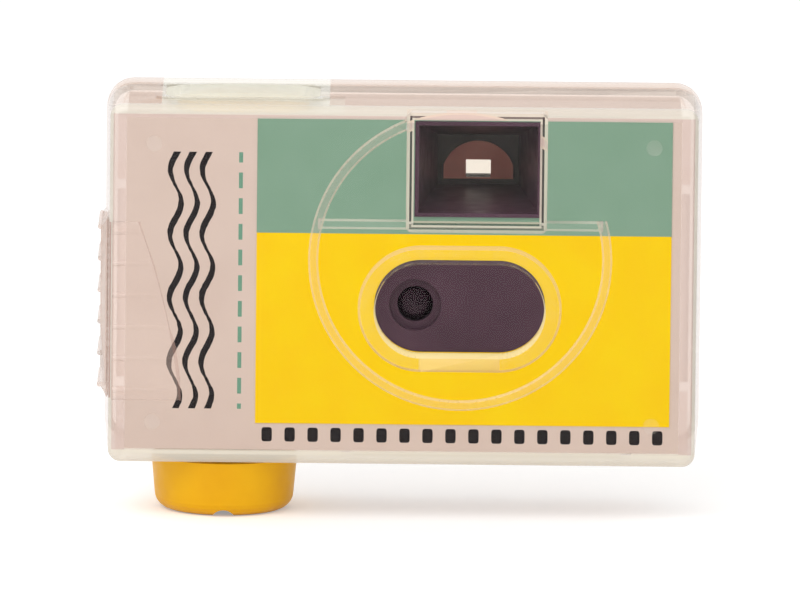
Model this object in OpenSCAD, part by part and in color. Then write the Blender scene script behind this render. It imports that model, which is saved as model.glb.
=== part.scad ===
// Waterproof single-use film camera: a clear two-shell housing round a card-wrapped inner camera.
// Millimetres. X to the right seen from the front, Y towards the rear, Z up.
// The flat rear face lies at Y = 0 and the housing is centred on X = 0 and Z = 0.

/* [Housing] */
// Width of the housing across its seam
housing_width = 120; // [118:0.5:130]
// Height of the housing across its seam
housing_height = 73; // [70.5:0.5:80]
// Depth from the flat rear face to the flat front face
housing_depth = 38; // [37.5:0.5:46]
// Wall thickness of both clear shells
wall = 1.6; // [1.2:0.1:1.9]
// Lean of each side from the seam to the front face
side_draft = 1.2; // [0.8:0.05:1.8]
// Lean of the top and of the bottom from the seam to the front face
top_draft = 0.3; // [0.2:0.05:0.6]
// Corner radius at the seam
seam_corner = 5.5; // [4:0.5:8]
// Corner radius of the front face
front_corner = 2.5; // [2:0.1:4]
// Rounding of the edge round the front face
front_edge = 1.4; // [0.8:0.1:1.5]
// Depth of the rear lid from the rear face to its rim
lid_depth = 8.4; // [7:0.2:8.6]
// Thickness of the seal between the two shells
seal_thickness = 0.6; // [0.4:0.1:1]

/* [Front face] */
// Length of the dark lens window
window_length = 34.2; // [30:0.2:38]
// Height of the dark lens window
window_height = 18.6; // [16:0.2:20]
// Sideways place of the lens window and of the circular ridge
window_x = 11.4; // [10:0.2:13]
// Width of the clear ring round the lens window
ring_width = 3.3; // [2:0.1:4]
// How far the clear ring stands proud of the face
ring_proud = 2.6; // [1:0.2:4]
// Middle radius of the large circular ridge
ridge_radius = 29.4; // [26:0.2:31]
// Width of the circular ridge and height of the ledge
ridge_width = 2; // [1:0.1:3]
// How far the ridge and the ledge stand proud
ridge_proud = 1; // [0.5:0.1:2]
// Width of the clear finder block
finder_width = 28.2; // [28:0.2:30]
// How far the finder block stands proud
finder_proud = 4; // [3:0.2:6]
// How far the ribbed grip stands past the side
grip_proud = 1.2; // [0.5:0.1:2]
// Number of grip ribs
grip_ribs = 6; // [3:1:6]

/* [Knob] */
// Largest diameter of the winding knob
knob_diameter = 29.4; // [24:0.2:32]
// Height of the winding knob
knob_height = 11; // [9:0.2:14]
// Rounding of the lower outer edge of the knob
knob_edge = 3.2; // [1:0.1:3.4]
// Number of finger notches in the lower rim
knob_notches = 4; // [3:1:12]
// Diameter of the winding shaft
shaft_diameter = 7; // [6:0.1:7.4]

/* [Release] */
// Length of the crowned button
button_length = 26.4; // [24:0.2:27]
// Width of the crowned button
button_width = 12; // [10:0.2:13]
// Height of the crown over the button ends
button_crown = 1.4; // [0.6:0.1:1.8]
// Travel of the button
button_travel = 1; // [0.6:0.1:1]

/* [Film] */
// Diameter of the film cassette
cassette_diameter = 25; // [24.4:0.1:25.4]
// Length of the cassette between its cap faces
cassette_length = 43; // [42:0.2:44]
// Width of the film
film_width = 35; // [34:0.1:36]
// Thickness of the film
film_thickness = 0.15; // [0.1:0.01:0.2]
// Width of the film gate
gate_width = 36; // [34:0.5:37]
// Height of the film gate
gate_height = 24; // [22:0.5:24.5]
// Radius of the film wound on the supply spool
roll_radius = 9.5; // [7:0.1:10]
// Sideways place of the lens axis
lens_x = 2.5; // [1:0.1:4]
// Height of the lens axis from the middle of the housing
lens_z = -4; // [-5:0.1:-4]

/* [Card and covers] */
// Thickness of the card sleeve
card_thickness = 0.5; // [0.3:0.05:0.6]
// Thickness of the colour sheets on the card
sheet_thickness = 0.15; // [0.1:0.01:0.2]
// Thickness of the inner front cover
cover_thickness = 2; // [1.5:0.1:2.4]
// Thickness of the inner back cover
back_thickness = 5.45; // [5:0.05:6]
// Thickness of the white top plate
plate_thickness = 1.2; // [1:0.1:1.4]

// Bare card left of the colour sheets
sheet_left = 26.15; // [20:0.05:30]
// Bare card right of the colour sheets
sheet_right = 1.85; // [0.5:0.05:4]
// Bare card below the colour sheets
sheet_foot = 5.4; // [2:0.1:8]
// Height of the line between the two colour sheets over the lens axis
sheet_split = 14.3; // [12:0.1:16]

/* [Finder] */
// Width of the eyepiece opening
eye_width = 5; // [4:0.1:5.5]
// Height of the eyepiece opening
eye_height = 3.6; // [3:0.1:4]
// Height of the eyepiece over the lens axis
eye_rise = 23.8; // [22.5:0.1:25]
// Radius of the arched top of the eyepiece mask
mask_radius = 7.4; // [7.1:0.1:7.8]
// Width of the eyepiece mask
mask_width = 14; // [12:0.2:14.2]

/* [Fits] */
// Radial running clearance of the shaft, the spool and the small pivots
running_fit = 0.06; // [0.03:0.01:0.09]
// Gap kept round the moving button
button_gap = 0.4; // [0.3:0.05:0.6]

/* [Hidden] */
$fn = 48;

// Outer housing
seam_x = housing_width / 2;
seam_z = housing_height / 2;
face_x = seam_x - side_draft;
face_z = seam_z - top_draft;
front_y = -housing_depth;
seam_y = -(lid_depth + seal_thickness);
// The lip of the lid ends short of the release collar, which starts 1 mm in front of the seam
lip_depth = 0.9;
inner_front_y = front_y + wall;

// Card sleeve and inner camera envelope
card_gap = [1.7, 0.9];
card_x = face_x - wall - card_gap[0];
card_z = face_z - wall - card_gap[1];
card_front_y = inner_front_y + 0.8;
card_rear_y = -(wall + 1.4);
cam_x = card_x - card_thickness;
cam_z = card_z - card_thickness;
cam_front_y = card_front_y + card_thickness;
cam_rear_y = card_rear_y - card_thickness;
body_front_y = cam_front_y + cover_thickness;
film_rear_y = cam_rear_y - back_thickness;
film_front_y = film_rear_y - film_thickness;
sheet_x = [-card_x + sheet_left, card_x - sheet_right];
sheet_z = [-card_z + sheet_foot, lens_z + sheet_split];
plate_z = cam_z - plate_thickness;
deck_z = plate_z - 6.2;

// Film path
cassette_r = cassette_diameter / 2;
cassette_x = -cam_x + 19.4;
cassette_y = (body_front_y + cam_rear_y) / 2 - 0.3;
cassette_z0 = lens_z - cassette_length / 2;
cassette_z1 = lens_z + cassette_length / 2;
chamber_r = cassette_r + 0.5;
chamber_top = cassette_z1 + 0.7;
lip_x = cassette_x + sqrt(pow(cassette_r, 2) - pow(film_front_y - cassette_y, 2));
spool_r = 5.5;
spool_foot = 1;
spool_head = 1.6;
clip_gap = 0.3;
clip_thickness = 0.8;
spool_bore = 4.2;
supply_x = cam_x - 17.5;
supply_y = film_front_y - roll_radius + 0.1;
supply_r = roll_radius + 1.5;
film_start = 8.4;
film_end = 4.5;
film_z = [lens_z - film_width / 2, lens_z + film_width / 2];

// Winding shaft and gland
shaft_r = shaft_diameter / 2;
shaft_hole = shaft_r + running_fit;
gland_top = min(-cam_z + 1.8, cassette_z0 - spool_foot - clip_gap - clip_thickness - clip_gap);
gland_floor = gland_top - 2;
gland_step = gland_top - 0.8;
gland_r = shaft_r + 1.7;
seal_r = shaft_r + 1.6;
boss_r = gland_r + 1.3;
gland_seat = -card_z - 0.3;
clip_z = [gland_top + clip_gap, gland_top + clip_gap + clip_thickness];
knob_z = -seam_z - 0.7;
knob_r = knob_diameter / 2;
knob_rim = 3.9;
knob_dish = 1.5;

// Lens and shutter
recess_y = body_front_y + 6.1;
wall_y = recess_y + 1;
lens_r = 4.6;
blade_y = [recess_y - 0.9, recess_y - 0.5];
pivot_x = lens_x - 9.5;
pivot_z = lens_z + 21;
pivot_r = 0.8;
blade_reach = sqrt(pow(lens_x - pivot_x, 2) + pow(lens_z - pivot_z, 2));
blade_angle = atan2(lens_x - pivot_x, pivot_z - lens_z);
tail_z = deck_z + 2;

// Finder
finder_x = window_x + 3.15;
finder_z = [lens_z + 15.6, face_z - 0.4];
finder_front_y = front_y - finder_proud;
tunnel_x = [finder_x - 12.4, finder_x + 13];
tunnel_z = [finder_z[0] + 2.3, cam_z];
tunnel_front_y = inner_front_y + 0.2;
tunnel_t = 0.8;
eye_x = finder_x + 0.4;
eye_z = lens_z + eye_rise;
eye_half = [eye_width / 2 + 0.1, eye_height / 2 + 0.1];

// Release
release_x = -cam_x + 22.6;
collar_margin = [2, 1.6];
membrane_size = [button_length + 4.6, button_width + 5];
release_y = seam_y - 1 - membrane_size[1] / 2 - collar_margin[1];
collar_z = seam_z + 0.1;
membrane_z = [collar_z - 0.8, collar_z - 0.3];
membrane_top = collar_z + 0.6;
membrane_t = 0.7;
dome_size = [button_length + 2.2, button_width + 2.6];
dome_sag = 1.2;
dome_r = (pow(dome_size[0] / 2, 2) + pow(dome_sag, 2)) / (2 * dome_sag);
button_top = membrane_top - membrane_t - 0.1;
crown_r = (pow(button_length / 2, 2) + pow(button_crown, 2)) / (2 * button_crown);
flange_z = [plate_z - 1, plate_z - 0.05];
stem_r = 1.2;
stem_x = [release_x - 10.6, release_x + 12];
stem_y = release_y - 0.5;
lever_z = [deck_z + 1.5, deck_z + 2.4];
lever_arm = 7.9;
lever_pin_z = deck_z + 1.95;
lever_pin_r = 0.6;
striker_room = 5.65;
striker_x = tunnel_x[0] - striker_room;
lever_pivot_x = min(stem_x[1] + lever_arm, striker_x - 9);
striker_swing = 5;
striker_y = stem_y + 2.5;
striker_z = [deck_z + 0.4, deck_z + 1.2];
post_r = 1.2;
striker_tip = [pivot_x - striker_swing, (blade_y[0] + blade_y[1]) / 2];

// Sprocket and counter
sprocket_offset = 19.9;
sprocket_x = cassette_x + sprocket_offset;
sprocket_r = 6.4;
sprocket_y = film_front_y - sprocket_r - 0.4;
sprocket_z = [film_z[1] - 3.1, film_z[1] - 0.1];
sprocket_shaft_r = 1.5;
sprocket_top = plate_z - 0.5;
cam_r = 2.6;
cam_tooth_r = 5.6;
counter_z = [deck_z + 3.1, deck_z + 3.9];
counter_x = sprocket_x - 13;
counter_y = sprocket_y + 3.9;
counter_r = 7.5;
counter_window = [[counter_x - 7.4, counter_x + 1.8], [counter_y - 0.4, counter_y + 5.2]];

// Grip outline on the front face, measured from the left end and from the middle height
grip_edge = [[-23.4, 15.8], [-14.6, 15.4], [-8.6, 13.4], [-2.6, 12], [3.5, 10.4], [11.6, 7.6], [12.6, 7.4]];
grip_z = [-23.4, 12.6];
grip_y = [front_y + 4, seam_y - 2.2];
rib_pitch = (grip_z[1] - grip_z[0] - 4) / max(grip_ribs - 1, 1);

function grip_right(z) = -seam_x + lookup(z, grip_edge);

// Box given by three ranges
module block(x, y, z) {
  translate([x[0], y[0], z[0]]) cube([x[1] - x[0], y[1] - y[0], z[1] - z[0]]);
}

// Round bar along Z
module rod_z(x, y, z, r) {
  translate([x, y, z[0]]) cylinder(r = r, h = z[1] - z[0]);
}

// Round bar along Y
module rod_y(x, z, y, r) {
  translate([x, y[1], z]) rotate([90, 0, 0]) cylinder(r = r, h = y[1] - y[0]);
}

// Round bar along X
module rod_x(y, z, x, r) {
  translate([x[0], y, z]) rotate([0, 90, 0]) cylinder(r = r, h = x[1] - x[0]);
}

// Box with its four long edges along Y rounded
module soft_block_y(x, z, y, r) {
  block([x[0] + r, x[1] - r], y, z);
  block(x, y, [z[0] + r, z[1] - r]);
  for (cx = [x[0] + r, x[1] - r], cz = [z[0] + r, z[1] - r]) rod_y(cx, cz, y, r);
}

// Box with its four long edges along Z rounded
module soft_block_z(x, y, z, r) {
  block([x[0] + r, x[1] - r], y, z);
  block(x, [y[0] + r, y[1] - r], z);
  for (cx = [x[0] + r, x[1] - r], cy = [y[0] + r, y[1] - r]) rod_z(cx, cy, z, r);
}

// Oblong with round ends, lying in the front plane
module oblong_y(x, z, length, height, y) {
  half = (length - height) / 2;
  block([x - half, x + half], y, [z - height / 2, z + height / 2]);
  rod_y(x - half, z, y, height / 2);
  rod_y(x + half, z, y, height / 2);
}

// Oblong with round ends, lying flat
module oblong_z(x, y, length, width, z) {
  half = (length - width) / 2;
  block([x - half, x + half], [y - width / 2, y + width / 2], z);
  rod_z(x - half, y, z, width / 2);
  rod_z(x + half, y, z, width / 2);
}

// Four corner pegs of one outline level, for a lofted skin
module level(half_x, half_z, r, y) {
  for (sx = [-1, 1], sz = [-1, 1]) {
    translate([sx * (half_x - r), y, sz * (half_z - r)]) rotate([90, 0, 0]) cylinder(r = r, h = 0.01, $fn = 32);
  }
}

// Coil of round wire standing along Z
module coil(height, turns, r, wire) {
  steps = 14 * turns;
  sides = 6;
  points = [for (i = [0 : steps], j = [0 : sides - 1])
    let (a = 360 * turns * i / steps, b = 360 * j / sides, reach = r + wire * cos(b))
    [reach * cos(a), reach * sin(a), wire + (height - 2 * wire) * i / steps + wire * sin(b)]];
  skin = [for (i = [0 : steps - 1], j = [0 : sides - 1])
    let (k = (j + 1) % sides)
    [i * sides + j, (i + 1) * sides + j, (i + 1) * sides + k, i * sides + k]];
  start = [for (j = [0 : sides - 1]) j];
  finish = [for (j = [0 : sides - 1]) steps * sides + sides - 1 - j];
  polyhedron(points = points, faces = concat(skin, [start, finish]));
}

// Rounded box skinned from four corner bars along Y
module skin_block_y(x, z, y, r) {
  hull() for (cx = [x[0] + r, x[1] - r], cz = [z[0] + r, z[1] - r]) rod_y(cx, cz, y, r, $fn = 24);
}

// Rounded box skinned from four corner bars along Z
module skin_block_z(x, y, z, r) {
  hull() for (cx = [x[0] + r, x[1] - r], cy = [y[0] + r, y[1] - r]) rod_z(cx, cy, z, r, $fn = 32);
}

// Oblong skinned from its two round ends, lying in the front plane
module skin_oblong_y(x, z, length, height, y) {
  half = (length - height) / 2;
  hull() for (cx = [x - half, x + half]) rod_y(cx, z, y, height / 2, $fn = 72);
}

module front_skin() {
  hull() {
    level(seam_x, seam_z, seam_corner, seam_y);
    for (a = [0 : 30 : 90]) {
      inset = front_edge * (1 - cos(a));
      level(face_x - inset, face_z - inset, front_corner - inset * 0.8, front_y + front_edge * (1 - sin(a)) + 0.01);
    }
  }
}

module front_hollow() {
  hull() {
    level(seam_x - wall, seam_z - wall, seam_corner - wall, seam_y + 0.5);
    level(seam_x - wall, seam_z - wall, seam_corner - wall, seam_y);
    level(face_x - wall, face_z - wall, 0.8, inner_front_y + 0.01);
  }
}

module lens_ring() {
  y = [front_y - ring_proud, front_y + 0.3];
  difference() {
    skin_oblong_y(window_x, lens_z - 0.2, window_length + 2 * ring_width, window_height + 2 * ring_width, y);
    skin_oblong_y(window_x, lens_z - 0.2, window_length - 0.4, window_height - 0.4, [y[0] - 1, front_y]);
  }
}

module face_ridge() {
  y = [front_y - ridge_proud, front_y + 0.3];
  intersection() {
    difference() {
      rod_y(window_x, lens_z + 9.5, y, ridge_radius + ridge_width / 2, $fn = 96);
      rod_y(window_x, lens_z + 9.5, [y[0] - 1, y[1] + 1], ridge_radius - ridge_width / 2, $fn = 96);
      // The ridge stops at the ledge on the right
      block([window_x, face_x], [y[0] - 1, y[1] + 1], [lens_z + 15.7 + ridge_width, face_z]);
    }
    block([-face_x + front_edge, face_x - front_edge], [y[0] - 1, y[1] + 1], [-face_z, face_z - front_edge]);
  }
  ledge_half = sqrt(pow(ridge_radius, 2) - 7.4 * 7.4);
  block([window_x - ledge_half, window_x + ledge_half], y, [lens_z + 15.7, lens_z + 15.7 + ridge_width]);
}

module grip_pad() {
  hull() {
    block([-seam_x + wall * 0.5, -seam_x + wall * 0.5 + 0.2], [grip_y[0] - 1, grip_y[1] + 1], grip_z);
    block([-seam_x - grip_proud + 0.6, -seam_x - grip_proud + 0.8], [grip_y[0] + 2, grip_y[1] - 2],
      [grip_z[0] + 2, grip_z[1] - 2]);
  }
  points = concat([[-face_x + 0.6, grip_z[1]], [-face_x + 0.6, grip_z[0]]],
    [for (p = grip_edge) [-seam_x + p[1], p[0]]]);
  translate([0, front_y + 0.3, 0]) rotate([90, 0, 0]) linear_extrude(height = 0.9) polygon(points);
  for (i = [0 : grip_ribs - 1]) {
    z = grip_z[0] + 2 + i * rib_pitch;
    rod_y(-seam_x - grip_proud + 0.5, z, [grip_y[0] + 2, grip_y[1] - 2], 0.5, $fn = 16);
    rod_x(front_y - 0.5, z, [-face_x + 0.8, grip_right(z) - 0.8], 0.6, $fn = 16);
  }
}

module locating_ribs() {
  y = [inner_front_y - 0.3, seam_y - 5];
  for (x = [-cam_x + 44, cam_x - 10]) block([x - 1, x + 1], y, [-face_z + 0.6, -card_z]);
  for (x = [-cam_x + 3, cam_x - 10]) block([x - 1, x + 1], y, [card_z, face_z - 0.6]);
  for (z = [-20, 20]) block([-face_x + 0.6, -card_x], y, [z - 1, z + 1]);
  for (z = [-20, 20]) block([card_x, face_x - 0.6], y, [z - 1, z + 1]);
  for (x = [-cam_x + 5, cam_x - 5], z = [-cam_z + 5, cam_z - 5])
    rod_y(x, z, [inner_front_y - 0.4, card_front_y - sheet_thickness - 0.03], 1.6, $fn = 24);
}

module release_collar() {
  skin_block_z(
    [release_x - membrane_size[0] / 2 - collar_margin[0], release_x + membrane_size[0] / 2 + collar_margin[0]],
    [release_y - membrane_size[1] / 2 - collar_margin[1], release_y + membrane_size[1] / 2 + collar_margin[1]],
    [face_z - wall + 0.2, collar_z], 3);
}

module release_opening() {
  skin_block_z([release_x - dome_size[0] / 2, release_x + dome_size[0] / 2],
    [release_y - dome_size[1] / 2, release_y + dome_size[1] / 2], [cam_z, collar_z + 1], 2.2);
  skin_block_z([release_x - membrane_size[0] / 2, release_x + membrane_size[0] / 2],
    [release_y - membrane_size[1] / 2, release_y + membrane_size[1] / 2], [membrane_z[0], collar_z + 1], 3);
}

module housing_front() {
  color([0.93, 0.92, 0.9, 0.3]) difference() {
    union() {
      difference() {
        front_skin();
        front_hollow();
      }
      lens_ring();
      face_ridge();
      skin_block_y([finder_x - finder_width / 2, finder_x + finder_width / 2], finder_z,
        [finder_front_y, front_y + 0.4], 1.2);
      grip_pad();
      locating_ribs();
      release_collar();
      rod_z(cassette_x, cassette_y, [-seam_z + wall * 0.7, gland_seat], boss_r + 1.8);
    }
    block([finder_x - finder_width / 2 + wall, finder_x + finder_width / 2 - wall],
      [finder_front_y + wall, inner_front_y + 0.3], [finder_z[0] + wall, card_z]);
    release_opening();
    rod_z(cassette_x, cassette_y, [-seam_z - 1, gland_top + 1], gland_r + 0.1);
  }
}

module knob_gland() {
  color([0.9, 0.9, 0.88, 0.5]) difference() {
    union() {
      rod_z(cassette_x, cassette_y, [gland_seat, gland_top], boss_r);
      rod_z(cassette_x, cassette_y, [-seam_z + 0.2, gland_seat + 0.1], gland_r);
    }
    rod_z(cassette_x, cassette_y, [-seam_z - 1, gland_top + 1], shaft_hole);
    rod_z(cassette_x, cassette_y, [gland_floor, gland_top + 1], seal_r);
  }
}

module housing_rear() {
  color([0.93, 0.92, 0.9, 0.3]) difference() {
    union() {
      hull() {
        level(seam_x, seam_z, seam_corner, -lid_depth + 0.01);
        for (a = [10 : 20 : 90]) {
          inset = 2 * (1 - cos(a));
          level(seam_x - inset, seam_z - inset, seam_corner - inset, -2 + 2 * sin(a));
        }
      }
      soft_block_y([-seam_x + wall + 0.4, seam_x - wall - 0.4], [-seam_z + wall + 0.4, seam_z - wall - 0.4],
        [seam_y - lip_depth, -lid_depth + 0.5], seam_corner - wall - 0.4);
    }
    soft_block_y([-card_x - 1.1, card_x + 1.1], [-card_z - 0.1, card_z + 0.1], [seam_y - 2, -wall], 2);
  }
  color([0.93, 0.92, 0.9, 0.3])
    for (x = [-cam_x + 8, cam_x - 8], z = [-cam_z + 8, cam_z - 8]) rod_y(x, z, [card_rear_y, -wall + 0.4], 2);
}

module housing_seal() {
  y = [seam_y, -lid_depth];
  color([0.86, 0.86, 0.84]) difference() {
    soft_block_y([-seam_x + 0.3, seam_x - 0.3], [-seam_z + 0.3, seam_z - 0.3], y, seam_corner - 0.3);
    soft_block_y([-seam_x + wall, seam_x - wall], [-seam_z + wall, seam_z - wall], [y[0] - 1, y[1] + 1],
      seam_corner - wall);
  }
}

module release_diaphragm() {
  color([0.95, 0.94, 0.9, 0.6]) difference() {
    union() {
      soft_block_z([release_x - membrane_size[0] / 2, release_x + membrane_size[0] / 2],
        [release_y - membrane_size[1] / 2, release_y + membrane_size[1] / 2], membrane_z, 3);
      intersection() {
        soft_block_z([release_x - dome_size[0] / 2, release_x + dome_size[0] / 2],
          [release_y - dome_size[1] / 2, release_y + dome_size[1] / 2], [membrane_z[0], membrane_top + 1], 2.2);
        rod_y(release_x, membrane_top - dome_r, [release_y - 20, release_y + 20], dome_r, $fn = 200);
      }
    }
    intersection() {
      soft_block_z([release_x - dome_size[0] / 2 + membrane_t, release_x + dome_size[0] / 2 - membrane_t],
        [release_y - dome_size[1] / 2 + membrane_t, release_y + dome_size[1] / 2 - membrane_t],
        [membrane_z[0] - 1, membrane_top], 1.5);
      rod_y(release_x, membrane_top - dome_r, [release_y - 20, release_y + 20], dome_r - membrane_t, $fn = 200);
    }
  }
}

module winding_knob() {
  low = knob_r - 0.7;
  points = concat([[shaft_r, 0], [shaft_r + 2, 0], [shaft_r + 2, -knob_height + 3.5],
    [low - 1.4, -knob_height + 3.5], [knob_r - 1.8, 0], [knob_r, 0]],
    [for (a = [0 : 15 : 90]) [low + knob_edge * (cos(a) - 1), -knob_height + knob_edge * (1 - sin(a))]],
    [[low - knob_rim, -knob_height], [low - knob_rim - 0.4, -knob_height + knob_dish], [0, -knob_height + knob_dish],
    [0, -knob_height + 2.5], [shaft_r, -knob_height + 2.5]]);
  color([0.95, 0.66, 0.1]) translate([cassette_x, cassette_y, knob_z]) difference() {
    rotate_extrude($fn = 96) polygon(points);
    for (i = [0 : knob_notches - 1]) rotate([0, 0, i * 360 / knob_notches - 90])
      translate([low - knob_rim - 1, 0, -knob_height - 1]) rotate([0, 90, 0]) cylinder(r = 2.4, h = 8);
  }
}

module knob_shaft() {
  fork_r = spool_bore - 0.1;
  color([0.85, 0.85, 0.85]) difference() {
    union() {
      rod_z(cassette_x, cassette_y, [knob_z - knob_height + 2.5, clip_z[1] + 0.3], shaft_r);
      rod_z(cassette_x, cassette_y, [clip_z[1], cassette_z0 + 3.5], fork_r);
    }
    block([cassette_x - 0.8, cassette_x + 0.8], [cassette_y - 6, cassette_y + 6],
      [cassette_z0 + 0.8, cassette_z0 + 4]);
  }
}

module knob_seal() {
  color([0.15, 0.15, 0.16]) difference() {
    rod_z(cassette_x, cassette_y, [gland_floor, gland_step], seal_r);
    rod_z(cassette_x, cassette_y, [gland_floor - 1, gland_step + 1], shaft_hole);
  }
}

module gland_ring() {
  color([0.8, 0.8, 0.8]) difference() {
    rod_z(cassette_x, cassette_y, [gland_step, gland_top], seal_r);
    rod_z(cassette_x, cassette_y, [gland_step - 1, gland_top + 1], shaft_hole);
  }
}

module knob_clip() {
  color([0.7, 0.71, 0.73]) difference() {
    rod_z(cassette_x, cassette_y, clip_z, shaft_r + 1.6);
    rod_z(cassette_x, cassette_y, [clip_z[0] - 1, clip_z[1] + 1], shaft_r);
    block([cassette_x - 1.2, cassette_x + 1.2], [cassette_y, cassette_y + 9], [clip_z[0] - 1, clip_z[1] + 1]);
  }
}

// Space taken by the lens panel where it shows through the card
module window_form(grow, y) {
  oblong_y(window_x, lens_z - 0.2, window_length + 2 * grow, window_height + 2 * grow, y);
}

// Space taken by the finder tunnel
module tunnel_form(grow, y) {
  block([tunnel_x[0] - grow, tunnel_x[1] + grow], y, [tunnel_z[0] - grow, tunnel_z[1] + grow]);
}

module card_sleeve() {
  cut_y = [card_front_y - 1, cam_front_y + 1];
  color([0.87, 0.8, 0.77]) difference() {
    block([-card_x, card_x], [card_front_y, card_rear_y], [-card_z, card_z]);
    block([-cam_x, cam_x], [cam_front_y, cam_rear_y], [-cam_z, cam_z]);
    window_form(0, cut_y);
    block([tunnel_x[0], tunnel_x[1]], cut_y, [tunnel_z[0], cam_z - 0.01]);
    block([release_x - 14.6, release_x + 20.4], [cam_front_y + 4, cam_rear_y - 2.5], [cam_z - 1, card_z + 1]);
    rod_z(cassette_x, cassette_y, [-card_z - 1, -cam_z + 1], boss_r + 0.8);
    block([eye_x - eye_width / 2 - 3.5, eye_x + eye_width / 2 + 3.5], [cam_rear_y - 1, card_rear_y + 1],
      [eye_z - eye_height / 2 - 2.7, eye_z + eye_height / 2 + 2.7]);
  }
}

module green_sheet() {
  y = [card_front_y - sheet_thickness, card_front_y];
  color([0.36, 0.65, 0.57]) difference() {
    block(sheet_x, y, [sheet_z[1], card_z]);
    block([tunnel_x[0], tunnel_x[1]], [y[0] - 1, y[1] + 1], [tunnel_z[0], cam_z]);
  }
}

module yellow_sheet() {
  y = [card_front_y - sheet_thickness, card_front_y];
  color([0.98, 0.79, 0.08]) difference() {
    block(sheet_x, y, sheet_z);
    window_form(0, [y[0] - 1, y[1] + 1]);
  }
}

module camera_front() {
  cut_y = [cam_front_y - 2, body_front_y + 1];
  color([0.16, 0.14, 0.16]) difference() {
    union() {
      block([-cam_x, cam_x], [cam_front_y, body_front_y], [-cam_z, cam_z]);
      window_form(-0.05, [inner_front_y + 0.5, body_front_y]);
    }
    tunnel_form(0, cut_y);
    block([-cam_x - 1, tunnel_x[0]], cut_y, [plate_z, cam_z + 1]);
    rod_y(lens_x, lens_z, [inner_front_y - 1, cam_front_y + 0.8], 5.2);
    rod_y(lens_x, lens_z, cut_y, 3.6);
  }
}

module camera_body() {
  right = tunnel_x[1] + 0.5;
  color([0.2, 0.2, 0.21]) difference() {
    union() {
      block([-cam_x, cam_x], [body_front_y, film_front_y], [-cam_z, deck_z]);
      block([right, cam_x], [body_front_y, film_front_y], [deck_z - 1, cam_z]);
      block([-cam_x, -cam_x + 4], [body_front_y, film_front_y], [deck_z - 1, plate_z]);
      rod_z(striker_x, striker_y, [deck_z - 1, deck_z + 4], post_r);
      rod_z(counter_x, counter_y, [deck_z - 1, counter_z[1] + 0.15], post_r);
      for (y = [stem_y - 1.9, stem_y + 1.2])
        block([lever_pivot_x - 1.2, lever_pivot_x + 1.2], [y, y + 0.7], [deck_z - 1, lever_z[1]]);
    }
    // Cassette chamber, open to the rear
    rod_z(cassette_x, cassette_y, [cassette_z0, chamber_top], chamber_r);
    block([cassette_x - chamber_r, cassette_x + chamber_r], [cassette_y, film_front_y + 1], [cassette_z0, chamber_top]);
    rod_z(cassette_x, cassette_y, [-cam_z - 1, cassette_z0 + 1], boss_r + 0.7);
    rod_z(cassette_x, cassette_y, [chamber_top - 1, chamber_top + 2.4], spool_r + 0.6);
    // Supply chamber, open to the rear
    rod_z(supply_x, supply_y, [cassette_z0, chamber_top], supply_r);
    block([supply_x - supply_r, supply_x + supply_r], [supply_y, film_front_y + 1], [cassette_z0, chamber_top]);
    rod_z(supply_x, supply_y, [cassette_z0 - 2.2, chamber_top + 2.2], sprocket_shaft_r + running_fit);
    // Light box behind the lens, ending in the film gate
    block([lens_x - gate_width / 2, lens_x + gate_width / 2], [wall_y + 6, film_front_y + 1],
      [lens_z - gate_height / 2, lens_z + gate_height / 2]);
    block([lens_x - 12, lens_x + 12], [wall_y, wall_y + 7], [lens_z - 8, lens_z + 8]);
    rod_y(lens_x, lens_z, [recess_y - 1, wall_y + 1], 2.2);
    // Shutter recess with a slot up to the deck
    block([lens_x - 18.5, lens_x + 18.5], [body_front_y - 1, recess_y], [lens_z - 14, lens_z + 14]);
    block([pivot_x - 6, pivot_x + 6], [body_front_y - 1, recess_y], [lens_z + 10, deck_z + 1]);
    rod_y(pivot_x, pivot_z, [recess_y - 1, recess_y + 2], pivot_r);
    // Sprocket well, open to the rear, with a slot that the shaft slides in through
    rod_z(sprocket_x, sprocket_y, [sprocket_z[0] - 0.4, sprocket_z[1] + 0.4], sprocket_r + 0.6);
    block([sprocket_x - sprocket_r, sprocket_x + sprocket_r], [sprocket_y, film_front_y + 1],
      [sprocket_z[0] - 0.4, sprocket_z[1] + 0.4]);
    rod_z(sprocket_x, sprocket_y, [sprocket_z[0] - 1.8, deck_z + 1], sprocket_shaft_r + running_fit);
    block([sprocket_x - 1.4, sprocket_x + 1.4], [sprocket_y + 1, film_front_y + 1], [sprocket_z[1], deck_z + 1]);
    // Finder notch, lever pin holes and the hollow right end
    tunnel_form(0.5, [body_front_y - 1, film_front_y + 1]);
    block([tunnel_x[0] - 0.5, right], [body_front_y - 1, film_front_y + 1], [tunnel_z[0] + 1, cam_z + 1]);
    rod_y(lever_pivot_x, lever_pin_z, [stem_y - 3, stem_y + 3], lever_pin_r);
    block([right + 2, cam_x - 3], [body_front_y - 1, film_front_y - 2], [chamber_top + 4.5, cam_z - 2]);
  }
  color([0.2, 0.2, 0.21])
    for (z = [lens_z - 9, lens_z + 9]) rod_y(lens_x + 9.5, z, [recess_y - 1.6, recess_y + 0.5], 1.5);
}

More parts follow.
